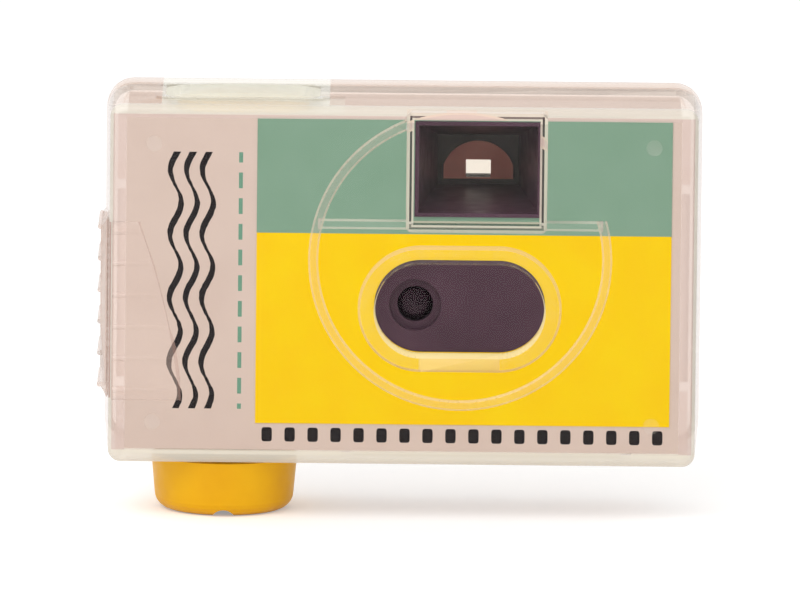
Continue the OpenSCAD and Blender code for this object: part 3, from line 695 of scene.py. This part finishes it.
@dataclass(frozen=True)
class PrintedSheet:
    """A block of flat printed colour on coated paper."""

    name: str
    colour: Tone
    drift: Tone

    def make(self) -> bpy.types.Material:
        """Make the material.

        Returns:
            The material.
        """
        recipe = Recipe(self.name)
        cloud = recipe.noise(120.0, 4.0)
        fibre = recipe.noise(1900.0, 4.0, (1.0, 1.0, 0.35))
        shader = recipe.surface(
            Base_Color=recipe.mix(recipe.remap(cloud, 0.0, 0.55), self.colour, self.drift),
            Roughness=recipe.remap(fibre, 0.4, 0.6),
            Specular_IOR_Level=0.12,
            Normal=recipe.relief(fibre, 0.00003, 0.4),
        )
        return recipe.finish(shader.outputs[0])


@dataclass(frozen=True)
class PrintedCard:
    """Pale coated card, with plain wave lines and a row of film-edge marks on its front."""

    name: str
    colour: Tone
    drift: Tone
    ink: Tone
    line_ink: Tone
    front: float
    waves: tuple[float, ...]
    wave_reach: tuple[float, float]
    wave_swing: float
    wave_length: float
    wave_width: float
    line_at: float
    line_width: float
    dash_pitch: float
    dash_length: float
    marks_at: float
    marks_reach: tuple[float, float]
    marks_pitch: float
    marks_size: tuple[float, float]

    def make(self) -> bpy.types.Material:
        """Make the material.

        Returns:
            The material.
        """
        recipe = Recipe(self.name)
        fibre = recipe.noise(1600.0, 5.0, (1.0, 1.0, 0.4))
        cloud = recipe.noise(70.0, 3.0)
        paper = recipe.mix(recipe.remap(cloud, 0.0, 0.7), self.colour, self.drift)
        face = recipe.math("LESS_THAN", recipe.along(Axis.Y), self.front)
        dark = recipe.both(face, recipe.math("MAXIMUM", self.wave_mask(recipe), self.mark_mask(recipe)))
        green = recipe.both(face, self.line_mask(recipe))
        inked = recipe.mix(green, recipe.mix(dark, paper, self.ink), self.line_ink)
        shader = recipe.surface(
            Base_Color=inked,
            Roughness=recipe.remap(fibre, 0.42, 0.62),
            Specular_IOR_Level=0.2,
            Normal=recipe.relief(fibre, 0.00004, 0.4),
        )
        return recipe.finish(shader.outputs[0])

    def wave_mask(self, recipe: Recipe) -> bpy.types.NodeSocket:
        """The upright wave lines, swelling and thinning as a brush does.

        Args:
            recipe: The material in the making.

        Returns:
            The mask.
        """
        height = recipe.along(Axis.Z)
        turn = recipe.math("MULTIPLY", height, 2 * math.pi / self.wave_length)
        swing = recipe.math("MULTIPLY", recipe.math("SINE", turn), self.wave_swing)
        swell = recipe.math("MULTIPLY", recipe.math("COSINE", turn), 0.35 * self.wave_width)
        ragged = recipe.remap(recipe.noise(700.0), 0.8 * self.wave_width, 1.1 * self.wave_width)
        half = recipe.math("ADD", swell, ragged)
        side = recipe.math("SUBTRACT", recipe.along(Axis.X), swing)
        lines: Feed = 0.0
        for wave in self.waves:
            off = recipe.math("ABSOLUTE", recipe.math("SUBTRACT", side, wave))
            lines = recipe.math("MAXIMUM", lines, recipe.math("LESS_THAN", off, half))
        return recipe.both(lines, recipe.within(Axis.Z, *self.wave_reach))

    def line_mask(self, recipe: Recipe) -> bpy.types.NodeSocket:
        """A thin upright line of dashes beside the waves.

        Args:
            recipe: The material in the making.

        Returns:
            The mask.
        """
        step = recipe.math("PINGPONG", recipe.along(Axis.Z), self.dash_pitch / 2)
        dash = recipe.math("LESS_THAN", step, self.dash_length / 2)
        bar = recipe.within(Axis.X, self.line_at - self.line_width / 2, self.line_at + self.line_width / 2)
        return recipe.both(dash, bar, recipe.within(Axis.Z, *self.wave_reach))

    def mark_mask(self, recipe: Recipe) -> bpy.types.NodeSocket:
        """A row of soft-cornered film-edge marks.

        Args:
            recipe: The material in the making.

        Returns:
            The mask.
        """
        start, stop = self.marks_reach
        along = recipe.math("SUBTRACT", recipe.along(Axis.X), start)
        beat = recipe.math("SUBTRACT", recipe.math("MODULO", along, self.marks_pitch), self.marks_pitch / 2)
        across = recipe.math("SUBTRACT", recipe.along(Axis.Z), self.marks_at)
        wide = recipe.math("DIVIDE", beat, self.marks_size[0] / 2)
        tall = recipe.math("DIVIDE", across, self.marks_size[1] / 2)
        round_off = recipe.math(
            "ADD",
            recipe.math("POWER", recipe.math("ABSOLUTE", wide), 5.0),
            recipe.math("POWER", recipe.math("ABSOLUTE", tall), 5.0),
        )
        return recipe.both(recipe.math("LESS_THAN", round_off, 1.0), recipe.within(Axis.X, start, stop))


@dataclass(frozen=True)
class LensGlass:
    """Polished lens with a coating that tints its gleam, and a dark tint in the glass that is painted shade."""

    name: str
    tint: Tone
    gleam: Tone

    def make(self) -> bpy.types.Material:
        """Make the material.

        Returns:
            The material.
        """
        recipe = Recipe(self.name)
        shader = recipe.surface(
            Base_Color=self.tint,
            Roughness=recipe.remap(recipe.noise(1500.0, 3.0), 0.0, 0.02, 0.5, 0.8),
            IOR=1.52,
            Specular_Tint=self.gleam,
            Transmission_Weight=1.0,
        )
        return recipe.finish(recipe.lit_through(shader.outputs[0]))


# Outlines of the clear shells' features on the front, along which the shell's painted light is laid
HOLLOW = Oblong((0.0, 0.0), (58.3 * MM, 34.95 * MM))
CARD = Oblong((0.0, 0.0), (55.5 * MM, 33.7 * MM))
WALLS = Oblong((0.0, 0.0), (58.1 * MM, 34.4 * MM))
TOP = Oblong((0.0, 36.4 * MM), (60.0 * MM, 1.4 * MM))
TOP_PALE = Oblong((-31.8 * MM, 36.0 * MM), (16.8 * MM, 1.4 * MM))
BOTTOM = Oblong((0.0, -35.2 * MM), (60.0 * MM, 1.6 * MM))
FINDER = Oblong((14.55 * MM, 23.7 * MM), (14.1 * MM, 12.1 * MM))
GRIP_PAD = Oblong((-52.0 * MM, -5.4 * MM), (9.0 * MM, 18.5 * MM))
GRIP_SIDE = Oblong((-58.9 * MM, -5.4 * MM), (0.5 * MM, 17.8 * MM))
GRIP_CURVE = Loop((-176.0 * MM, -35.2 * MM), 0.0, 132.4 * MM)
LEDGE = Oblong((11.4 * MM, 12.7 * MM), (28.4 * MM, 1.0 * MM))
RIDGE = Loop((11.4 * MM, 5.5 * MM), 0.0, 29.4 * MM)
RING = Loop((11.4 * MM, -4.2 * MM), 7.8 * MM, 12.6 * MM)
RING_FLAT = Oblong((11.4 * MM, -15.1 * MM), (8.1 * MM, 1.5 * MM))
WINDOW = Loop((11.4 * MM, -4.7 * MM), 7.8 * MM, 9.1 * MM)

# All that lies outside an outline, and all that lies inside it
FAR = 1.0
BEYOND = (0.0, FAR)
INSIDE = (-FAR, 0.0)

# How far back a strip reaches: to the lid, along the side, or only on the front wall, finder, grip or relief
LID = -1.0 * MM
SIDE = -34.0 * MM
FRONT = -36.0 * MM
BLOCK = -36.2 * MM
GRIP = -38.05 * MM
PROUD = -38.1 * MM


class Finishes:
    """The finishes of this camera, each made once."""

    shell = ClearPlastic(
        "clear_shell",
        tone(253, 250, 248),
        tone(210, 209, 200),
        core=((-58.3 * MM, 58.3 * MM), (-36.45 * MM, -1.7 * MM), (-34.95 * MM, 34.95 * MM)),
        # Painted haze: pale milkiness on the front relief and on the inner ribs and pegs, standing in for the
        # light they refract.
        painted_bands=(PaintedHazeBand(-40.7 * MM, -38.1 * MM, 0.08), PaintedHazeBand(-36.3 * MM, -35.5 * MM, 0.12)),
        window=PaintedLightStrip(FINDER, (-FAR, -1.5 * MM), 0.0, 0.0, tone(0, 0, 0)),
        # Painted light, laid by place: pale and cream strips are painted highlights and bright edges, pink and tan
        # strips painted refraction of the card and the button behind, dark strips painted shade.
        painted_strips=(
            PaintedLightStrip(HOLLOW, BEYOND, LID, 0.42, tone(226, 202, 190)),
            PaintedLightStrip(TOP, INSIDE, LID, 0.42, tone(212, 174, 146)),
            PaintedLightStrip(TOP_PALE, INSIDE, LID, 0.42, tone(244, 242, 226)),
            PaintedLightStrip(CARD, BEYOND, FRONT, 0.7, tone(220, 196, 186)),
            PaintedLightStrip(WALLS, BEYOND, FRONT, 0.55, tone(236, 229, 215)),
            PaintedLightStrip(FINDER, (-1.6 * MM, 0.0), BLOCK, 0.4, tone(240, 226, 208)),
            # Painted shade: a dark line all round the finder window.
            PaintedLightStrip(FINDER, (-1.1 * MM, -0.65 * MM), BLOCK, 0.6, tone(66, 50, 54)),
            PaintedLightStrip(BOTTOM, INSIDE, FRONT, 0.6, tone(238, 230, 214)),
            PaintedLightStrip(GRIP_PAD, INSIDE, PROUD, 0.24, tone(224, 198, 186)),
            # Painted shade: darker lines along the grip's curve and along its side edge.
            PaintedLightStrip(GRIP_CURVE, (-0.5 * MM, 0.2 * MM), GRIP, 0.4, tone(196, 160, 148)),
            PaintedLightStrip(GRIP_SIDE, INSIDE, SIDE, 0.45, tone(186, 150, 138)),
            # Painted highlights along the ledge, ridge, ring and window edges, and painted refracted colour on the
            # ring's flat.
            PaintedLightStrip(LEDGE, (-0.45 * MM, 0.1 * MM), PROUD, 0.42, tone(240, 230, 212)),
            PaintedLightStrip(RING_FLAT, INSIDE, PROUD, 0.5, tone(252, 222, 166)),
            PaintedLightStrip(RIDGE, (-1.05 * MM, 1.05 * MM), PROUD, 0.16, tone(238, 206, 196)),
            PaintedLightStrip(RIDGE, (0.6 * MM, 1.05 * MM), PROUD, 0.4, tone(248, 220, 200)),
            PaintedLightStrip(RIDGE, (-1.05 * MM, -0.6 * MM), PROUD, 0.4, tone(248, 220, 200)),
            PaintedLightStrip(RING, (-0.5 * MM, 0.1 * MM), PROUD, 0.45, tone(248, 212, 176)),
            PaintedLightStrip(WINDOW, (-0.55 * MM, 0.3 * MM), PROUD, 0.62, tone(255, 240, 200)),
        ),
    )
    eyepiece = ClearPlastic("clear_eyepiece", tone(252, 252, 250), tone(240, 240, 236), haze=0.0, edge=0.3)
    vinyl = SoftVinyl("milky_vinyl", tone(252, 250, 236), 0.64)
    grey_seal = Rubber("pale_seal", tone(212, 206, 198), tone(228, 224, 216))
    black_seal = Rubber("black_seal", tone(30, 29, 30), tone(58, 56, 56))
    knob = MouldedPlastic("yellow_knob", tone(248, 186, 0), tone(238, 172, 0), depth=0.00004, shine=0.25)
    button = MouldedPlastic("yellow_button", tone(252, 204, 52), tone(246, 194, 44), shine=0.25)
    pale = MouldedPlastic("pale_plastic", tone(224, 222, 212), tone(214, 211, 202))
    white = MouldedPlastic("white_plastic", tone(238, 236, 226), tone(228, 225, 214))
    black = MouldedPlastic("black_plastic", tone(40, 34, 38), tone(30, 25, 29), rough=(0.42, 0.6))
    matt = MouldedPlastic(
        "matt_black", tone(46, 39, 44), tone(38, 32, 36), rough=(0.5, 0.66), grain=900.0, depth=0.000005, shine=0.3
    )
    panel = MouldedPlastic("dark_panel", tone(79, 56, 70), tone(69, 48, 61), rough=(0.36, 0.5), shine=0.2)
    tunnel = MouldedPlastic("dark_tunnel", tone(84, 57, 76), tone(70, 46, 62), rough=(0.3, 0.45), shine=0.3)
    # Painted light: the eyepiece mask's brown is made far lighter than its own colour, standing in for light that
    # hardly reaches it in the finder tunnel.
    brown = MouldedPlastic("brown_mask", tone(238, 160, 146), tone(208, 130, 118), shine=0.2)
    steel = BrightSteel("bright_steel")
    wire = BrightSteel("spring_wire", (3.0, 3.0, 3.0))
    green = PrintedSheet("green_print", tone(130, 166, 144), tone(138, 172, 152))
    yellow = PrintedSheet("yellow_print", tone(255, 217, 0), tone(253, 203, 0))
    tin = PaintedTin("cassette_tin", tone(70, 104, 98), tone(224, 190, 40), 0.008)
    film = FilmBase("film_base", tone(78, 54, 48))
    roll = FilmBase("film_edges", tone(70, 50, 45), True)
    # Painted shade: the glass's dark purple tint makes the lens look dark, beyond what clear lens glass would.
    lens = LensGlass("taking_lens_glass", tone(112, 90, 106), tone(196, 168, 190))
    card = PrintedCard(
        "printed_card",
        tone(222, 204, 194),
        tone(214, 195, 185),
        tone(26, 22, 26),
        tone(112, 160, 138),
        front=-35.55 * MM,
        waves=(-45.6 * MM, -42.4 * MM, -39.2 * MM),
        wave_reach=(-25.5 * MM, 26.5 * MM),
        wave_swing=1.1 * MM,
        wave_length=13.0 * MM,
        wave_width=0.55 * MM,
        line_at=-32.6 * MM,
        line_width=0.8 * MM,
        dash_pitch=5.2 * MM,
        dash_length=3.2 * MM,
        marks_at=-30.6 * MM,
        marks_reach=(-29.3 * MM, 53.6 * MM),
        marks_pitch=4.605 * MM,
        marks_size=(2.1 * MM, 2.9 * MM),
    )
    _made: dict[str, bpy.types.Material] = {}

    @classmethod
    def material(cls, finish: Finish) -> bpy.types.Material:
        """The material of a finish, made at its first use.

        Args:
            finish: The finish.

        Returns:
            Its material.
        """
        if finish.name not in cls._made:
            cls._made[finish.name] = finish.make()
        return cls._made[finish.name]


class Bench:
    """Modelling by hand: one piece at a time, selected by place."""

    @staticmethod
    def clear() -> None:
        """Deselect everything."""
        if bpy.context.object and bpy.context.object.mode != "OBJECT":
            bpy.ops.object.mode_set(mode="OBJECT")
        bpy.ops.object.select_all(action="DESELECT")

    @staticmethod
    def take(name: str) -> bpy.types.Object:
        """Name the piece that was just added and open it for editing.

        Args:
            name: The piece's name.

        Returns:
            The piece.
        """
        piece = bpy.context.object
        piece.name = name
        piece.data.name = name
        bpy.ops.object.transform_apply(location=True, rotation=True, scale=True)
        bpy.ops.object.mode_set(mode="EDIT")
        return piece

    @staticmethod
    def pick_points(piece: bpy.types.Object, test: Callable[[Vector], bool]) -> int:
        """Select points by place.

        Args:
            piece: The piece in edit mode.
            test: True for a place that is wanted.

        Returns:
            How many were found.
        """
        bpy.ops.mesh.select_mode(type="VERT")
        bpy.ops.mesh.select_all(action="DESELECT")
        mesh = bmesh.from_edit_mesh(piece.data)
        found = [point for point in mesh.verts if test(point.co)]
        for point in found:
            point.select_set(True)
        mesh.select_flush(True)
        bmesh.update_edit_mesh(piece.data)
        return len(found)

    @staticmethod
    def pick_faces(piece: bpy.types.Object, test: Callable[[Vector, Vector], bool]) -> int:
        """Select faces by place and direction.

        Args:
            piece: The piece in edit mode.
            test: True for a middle and normal that are wanted.

        Returns:
            How many were found.
        """
        bpy.ops.mesh.select_mode(type="FACE")
        bpy.ops.mesh.select_all(action="DESELECT")
        mesh = bmesh.from_edit_mesh(piece.data)
        mesh.normal_update()
        found = [face for face in mesh.faces if test(face.calc_center_median(), face.normal)]
        for face in found:
            face.select_set(True)
        bmesh.update_edit_mesh(piece.data)
        return len(found)

    @staticmethod
    def done(piece: bpy.types.Object, angle: float = 35.0) -> bpy.types.Object:
        """Close the edit, shade it and leave it at the origin.

        Args:
            piece: The piece in edit mode.
            angle: Edges flatter than this are shaded smooth, in degrees.

        Returns:
            The piece.
        """
        bpy.ops.mesh.select_all(action="SELECT")
        bpy.ops.mesh.remove_doubles(threshold=1e-7)
        bpy.ops.mesh.normals_make_consistent(inside=False)
        bpy.ops.object.mode_set(mode="OBJECT")
        Bench.apply_all(piece)
        bpy.ops.object.shade_smooth_by_angle(angle=math.radians(angle))
        return piece

    @staticmethod
    def apply_all(piece: bpy.types.Object) -> None:
        """Apply the piece's modifiers in order.

        Args:
            piece: The piece.
        """
        bpy.context.view_layer.objects.active = piece
        for modifier in list(piece.modifiers):
            bpy.ops.object.modifier_apply(modifier=modifier.name)


class Assembly:
    """Pieces that are built and dressed together."""

    def build(self) -> None:
        """Build the new pieces, where there are any."""

    def dress(self) -> None:
        """Give every piece its finish."""
        raise NotImplementedError

    @staticmethod
    def wear(finish: Finish, *nodes: str) -> None:
        """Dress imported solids.

        Args:
            finish: The finish.
            *nodes: The solids' names.
        """
        for node in nodes:
            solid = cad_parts[node]
            if not solid.material_slots:
                solid.data.materials.append(None)
            for slot in solid.material_slots:
                slot.material = Finishes.material(finish)
            LOG.info("%s wears %s", node, finish.name)

    @staticmethod
    def fit(piece: bpy.types.Object, finish: Finish, body: str, slot: str, *nodes: str) -> None:
        """Dress a new piece, tie it to what moves it and let it stand for its solids.

        Args:
            piece: The new piece.
            finish: Its finish.
            body: The body that it rides on.
            slot: The record's material slot; not used.
            *nodes: The solids that it stands for.
        """
        piece.data.materials.clear()
        piece.data.materials.append(Finishes.material(finish))
        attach(piece, body)
        if nodes:
            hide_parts(*nodes)
        LOG.info("%s built, %d faces", piece.name, len(piece.data.polygons))


@dataclass
class Housing(Assembly):
    """The clear front shell, the clear rear lid and the seal between them."""

    smooth: float = 28.0
    hair: float = 0.06 * MM

    def build(self) -> None:
        """Take the two clear shells as single smooth skins."""
        self.skin("housing_front", "clear_front")
        self.skin("housing_rear", "clear_rear")

    def skin(self, node: str, name: str) -> None:
        """Copy a shell, join its faces and shade its curves smooth.

        Args:
            node: The solid that is copied.
            name: The new piece's name.
        """
        Bench.clear()
        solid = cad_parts[node]
        piece = bpy.data.objects.new(name, solid.data.copy())
        piece.data.name = name
        bpy.context.scene.collection.objects.link(piece)
        piece.select_set(True)
        bpy.context.view_layer.objects.active = piece
        bpy.ops.object.mode_set(mode="EDIT")
        bpy.ops.mesh.select_all(action="SELECT")
        bpy.ops.mesh.remove_doubles(threshold=2e-6)
        bpy.ops.mesh.dissolve_limited(angle_limit=math.radians(0.5))
        self.ease(piece)
        bpy.ops.mesh.select_all(action="SELECT")
        bpy.ops.mesh.quads_convert_to_tris()
        bpy.ops.object.mode_set(mode="OBJECT")
        bpy.ops.object.shade_smooth_by_angle(angle=math.radians(self.smooth))
        even = piece.modifiers.new("even_shading", "WEIGHTED_NORMAL")
        even.keep_sharp = True
        Bench.apply_all(piece)
        self.fit(piece, Finishes.shell, "housing", "clear_shell", node)

    def ease(self, piece: bpy.types.Object) -> None:
        """Draw the ribs and pegs back a hair from the card that they touch, so that it shows through them.

        Args:
            piece: The shell, in edit mode.
        """
        low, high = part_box("card_sleeve")
        for along in (axis.value for axis in Axis):
            for plane, way in ((low[along], -1.0), (high[along], 1.0)):
                if Bench.pick_points(piece, lambda place: abs(place[along] - plane) < 0.25 * self.hair):
                    shift = [0.0, 0.0, 0.0]
                    shift[along] = way * self.hair
                    bpy.ops.transform.translate(value=shift)

    def dress(self) -> None:
        """Give every piece its finish."""
        self.wear(Finishes.grey_seal, "housing_seal")


@dataclass
class Winder(Assembly):
    """The yellow winding knob with its shaft, seals and clip."""

    def dress(self) -> None:
        """Give every piece its finish."""
        self.wear(Finishes.knob, "winding_knob", "knob_shaft")
        self.wear(Finishes.shell, "knob_gland")
        self.wear(Finishes.black_seal, "knob_seal")
        self.wear(Finishes.pale, "gland_ring")
        self.wear(Finishes.steel, "knob_clip")


@dataclass
class Coil:
    """One coil spring, wound from round wire."""

    centre: tuple[float, float, float]
    height: float
    turns: float
    radius: float
    wire: float
    lie: tuple[float, float, float] = (0.0, 0.0, 0.0)
    sides: int = 10
    steps: int = 28

    def wind(self, name: str) -> bpy.types.Object:
        """Wind the spring.

        Args:
            name: The piece's name.

        Returns:
            The spring.
        """
        Bench.clear()
        bpy.ops.mesh.primitive_circle_add(
            vertices=self.sides,
            radius=self.wire,
            location=(self.radius, 0.0, self.wire),
            rotation=(math.pi / 2, 0.0, 0.0),
        )
        piece = Bench.take(name)
        bpy.ops.object.mode_set(mode="OBJECT")
        winding = piece.modifiers.new("winding", "SCREW")
        winding.angle = 2 * math.pi * self.turns
        winding.screw_offset = self.height - 2 * self.wire
        winding.steps = int(self.steps * self.turns)
        winding.render_steps = winding.steps
        winding.use_merge_vertices = False
        Bench.apply_all(piece)
        bpy.ops.object.mode_set(mode="EDIT")
        bpy.ops.mesh.select_mode(type="EDGE")
        bpy.ops.mesh.select_all(action="DESELECT")
        bpy.ops.mesh.select_non_manifold()
        bpy.ops.mesh.edge_face_add()
        Bench.done(piece, 50.0)
        piece.rotation_euler = Euler(self.lie)
        piece.location = Vector(self.centre)
        bpy.ops.object.transform_apply(location=True, rotation=True, scale=True)
        return piece


@dataclass
class Release(Assembly):
    """The milky membrane over the big yellow button, and the button's spring."""

    rim_thickness: float = 0.5 * MM
    rim_width: float = 1.2 * MM
    corner: float = 3.0 * MM
    shoulder: float = 0.25 * MM
    brow: float = 0.3 * MM
    step: float = 0.3 * MM
    skin: float = 0.5 * MM
    soft_edge: float = 0.1 * MM
    cuts: int = 16
    spring_turns: float = 4.0
    spring_wire: float = 0.35 * MM

    def build(self) -> None:
        """Build the membrane and the spring."""
        self.build_membrane()
        self.build_spring()

    def build_membrane(self) -> None:
        """A flat rim with a soft pillow raised inside it, arched from end to end."""
        low, high = (Vector(corner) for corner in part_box("release_diaphragm"))
        middle = (low + high) / 2
        size = high - low
        rim_top = low.z + self.rim_thickness
        Bench.clear()
        bpy.ops.mesh.primitive_plane_add(size=1.0, location=(middle.x, middle.y, rim_top))
        bpy.context.object.scale = (size.x, size.y, 1.0)
        piece = Bench.take("release_membrane")
        bpy.ops.mesh.select_all(action="SELECT")
        bpy.ops.mesh.bevel(offset=self.corner, segments=8, affect="VERTICES")
        bpy.ops.mesh.inset(thickness=self.rim_width, depth=0.0)
        bpy.ops.mesh.inset(thickness=self.shoulder, depth=0.0)
        bpy.ops.transform.translate(value=(0.0, 0.0, 0.6 * self.step))
        bpy.ops.mesh.inset(thickness=self.brow, depth=0.0)
        bpy.ops.transform.translate(value=(0.0, 0.0, 0.4 * self.step))
        self.arch(piece, middle.x, size.x / 2 - self.rim_width, rim_top, high.z - rim_top - self.step)
        bpy.ops.object.mode_set(mode="OBJECT")
        wall = piece.modifiers.new("wall", "SOLIDIFY")
        wall.thickness = self.skin
        wall.offset = -1.0
        edge = piece.modifiers.new("edge", "BEVEL")
        edge.width = self.soft_edge
        edge.segments = 2
        edge.angle_limit = math.radians(50)
        bpy.ops.object.mode_set(mode="EDIT")
        Bench.done(piece, 40.0)
        self.fit(piece, Finishes.vinyl, "housing", "soft_white", "release_diaphragm")
        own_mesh(piece)

    def arch(self, piece: bpy.types.Object, middle: float, reach: float, rim_top: float, rise: float) -> None:
        """Cut the pillow across and lift each cut to its place on the arch.

        Args:
            piece: The membrane in edit mode.
            middle: Its middle along X.
            reach: Half of the pillow's length.
            rim_top: The height of the rim's top.
            rise: How far the middle is lifted.
        """
        for cut in range(1, self.cuts):
            Bench.pick_faces(piece, lambda place, normal: place.z > rim_top + 0.02 * MM)
            place = middle + reach * (2 * cut / self.cuts - 1)
            bpy.ops.mesh.bisect(plane_co=(place, 0.0, 0.0), plane_no=(1.0, 0.0, 0.0))
        spots = sorted({round(point.co.x, 6) for point in bmesh.from_edit_mesh(piece.data).verts})
        for spot in spots:
            share = max(0.0, 1.0 - ((spot - middle) / reach) ** 2)
            found = Bench.pick_points(
                piece, lambda place: abs(place.x - spot) < 1e-6 and place.z > rim_top + 0.9 * self.step
            )
            if found:
                bpy.ops.transform.translate(value=(0.0, 0.0, rise * share))

    def build_spring(self) -> None:
        """The coil under the button."""
        low, high = (Vector(corner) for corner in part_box("button_spring"))
        foot = ((low.x + high.x) / 2, (low.y + high.y) / 2, low.z)
        radius = (high.x - low.x) / 2 - self.spring_wire
        coil = Coil(foot, high.z - low.z, self.spring_turns, radius, self.spring_wire).wind("button_coil")
        self.fit(coil, Finishes.wire, "housing", "spring_steel", "button_spring")
        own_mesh(coil)

    def dress(self) -> None:
        """Give every piece its finish."""
        self.wear(Finishes.button, "shutter_button")


@dataclass
class Jacket(Assembly):
    """The printed card sleeve with its green and yellow blocks."""

    def dress(self) -> None:
        """Give every piece its finish."""
        self.wear(Finishes.card, "card_sleeve")
        self.wear(Finishes.green, "green_sheet")
        self.wear(Finishes.yellow, "yellow_sheet")


@dataclass
class InnerCamera(Assembly):
    """The chassis, its covers, and the lens and shutter."""

    def dress(self) -> None:
        """Give every piece its finish."""
        self.wear(Finishes.panel, "camera_front")
        self.wear(Finishes.black, "camera_body", "camera_back")
        self.wear(Finishes.matt, "lens_barrel", "shutter_blade")
        self.wear(Finishes.white, "top_plate")
        self.wear(Finishes.lens, "taking_lens")
        self.wear(Finishes.steel, "shutter_pivot", "shutter_spring", "striker", "striker_spring", "trip_pin")
        self.wear(Finishes.pale, "trip_lever")


@dataclass
class Counter(Assembly):
    """The sprocket that the film turns, and the frame counter it drives."""

    def dress(self) -> None:
        """Give every piece its finish."""
        self.wear(Finishes.pale, "sprocket_wheel", "counter_cam")
        self.wear(Finishes.white, "counter_disc")


@dataclass
class Finder(Assembly):
    """The dark finder tunnel, its two lenses and the brown eyepiece mask."""

    def dress(self) -> None:
        """Give every piece its finish."""
        self.wear(Finishes.tunnel, "finder_tunnel")
        self.wear(Finishes.eyepiece, "finder_front_lens", "finder_rear_lens")
        self.wear(Finishes.brown, "eyepiece_mask")


@dataclass
class FilmPath(Assembly):
    """The cassette, the film and the supply roll."""

    def dress(self) -> None:
        """Give every piece its finish."""
        self.wear(Finishes.tin, "cassette_shell", "cassette_cap_top", "cassette_cap_bottom")
        self.wear(Finishes.black, "cassette_spool", "supply_spool")
        self.wear(Finishes.film, "film_strip")
        self.wear(Finishes.roll, "film_roll")


@dataclass
class Studio:
    """The pale floor, soft light and the camera of the photograph."""

    aim: tuple[float, float, float] = (-0.55 * MM, -38.0 * MM, -2.7 * MM)
    distance: float = 3.556
    elevation: float = 9.0
    roll: float = 0.6
    lens: float = 800.0
    bounces: int = 24
    fill: float = 0.8
    floor_size: float = 6.0
    floor_glow: float = 0.3
    key_power: float = 2.0
    key_size: tuple[float, float] = (0.6, 0.4)
    key_place: tuple[float, float, float] = (-0.25, -0.5, 0.6)
    key_aim: tuple[float, float, float] = (0.0, -0.02, 0.0)

    def build(self) -> None:
        """Set the view, the floor and the light."""
        scene = bpy.context.scene
        scene.view_settings.view_transform = "Standard"
        scene.cycles.max_bounces = self.bounces
        scene.cycles.transmission_bounces = self.bounces
        scene.cycles.transparent_max_bounces = self.bounces
        scene.cycles.caustics_reflective = False
        scene.cycles.caustics_refractive = False
        self.build_camera(scene)
        self.build_floor()
        self.build_world(scene)
        self.build_lamps(scene)

    def build_camera(self, scene: bpy.types.Scene) -> None:
        """Stand the camera in front, a little above.

        Args:
            scene: The scene.
        """
        lens = bpy.data.cameras.new("view")
        lens.lens = self.lens
        lens.sensor_width = 36.0
        lens.clip_start = 0.01
        camera = bpy.data.objects.new("view", lens)
        scene.collection.objects.link(camera)
        rise = math.radians(self.elevation)
        aim = Vector(self.aim)
        camera.location = aim + self.distance * Vector((0.0, -math.cos(rise), math.sin(rise)))
        look = (aim - camera.location).to_track_quat("-Z", "Y").to_matrix().to_4x4()
        turn = Euler((0.0, 0.0, math.radians(self.roll))).to_matrix().to_4x4()
        camera.rotation_euler = (look @ turn).to_euler()
        scene.camera = camera

    @staticmethod
    def seen(tree: bpy.types.NodeTree) -> bpy.types.NodeSocket:
        """A level that is 1 for rays that show the background: straight, mirrored or through glass.

        Args:
            tree: The nodes that it is added to.

        Returns:
            The level.
        """
        path = tree.nodes.new("ShaderNodeLightPath")
        level = path.outputs["Is Camera Ray"]
        for name in ("Is Glossy Ray", "Is Transmission Ray"):
            wider = tree.nodes.new("ShaderNodeMath")
            wider.operation = "MAXIMUM"
            tree.links.new(level, wider.inputs[0])
            tree.links.new(path.outputs[name], wider.inputs[1])
            level = wider.outputs[0]
        return level

    def build_floor(self) -> None:
        """A wide pale floor under the knob that keeps the shadow."""
        Bench.clear()
        bpy.ops.mesh.primitive_plane_add(size=self.floor_size, location=(0.0, 0.0, cad_low.z))
        floor = bpy.context.object
        floor.name = "floor"
        recipe = Recipe("pale_floor")
        shader = recipe.surface(
            Base_Color=recipe.mix(recipe.noise(4.0), tone(244, 244, 243), tone(247, 247, 246)),
            Roughness=0.9,
            Emission_Color=(1.0, 1.0, 1.0, 1.0),
            Emission_Strength=recipe.math("MULTIPLY", self.seen(recipe.tree), self.floor_glow),
        )
        floor.data.materials.append(recipe.finish(shader.outputs[0]))

    def build_world(self, scene: bpy.types.Scene) -> None:
        """White all round, at the fill's level where it lights the part.

        Args:
            scene: The scene.
        """
        world = bpy.data.worlds.new("studio")
        world.use_nodes = True
        scene.world = world
        back = world.node_tree.nodes["Background"]
        back.inputs["Color"].default_value = (1.0, 1.0, 1.0, 1.0)
        level = world.node_tree.nodes.new("ShaderNodeMapRange")
        world.node_tree.links.new(self.seen(world.node_tree), level.inputs[0])
        level.inputs[3].default_value = self.fill
        level.inputs[4].default_value = 1.0
        world.node_tree.links.new(level.outputs[0], back.inputs["Strength"])

    def build_lamps(self, scene: bpy.types.Scene) -> None:
        """One broad soft lamp above, to the left of the view.

        Args:
            scene: The scene.
        """
        lamp = bpy.data.lights.new("softbox", "AREA")
        lamp.shape = "RECTANGLE"
        lamp.size, lamp.size_y = self.key_size
        lamp.energy = self.key_power
        softbox = bpy.data.objects.new("softbox", lamp)
        scene.collection.objects.link(softbox)
        softbox.location = self.key_place
        aim = Vector(self.key_aim) - softbox.location
        softbox.rotation_euler = aim.to_track_quat("-Z", "Y").to_euler()


def main() -> None:
    """Build and dress the camera, then set the studio round it."""
    logging.basicConfig(level=logging.INFO, format="%(name)s: %(message)s")
    assemblies = (
        Housing(),
        Winder(),
        Release(),
        Jacket(),
        InnerCamera(),
        Counter(),
        Finder(),
        FilmPath(),
    )
    for assembly in assemblies:
        assembly.build()
        assembly.dress()
    Studio().build()


if __name__ == "__main__":
    main()
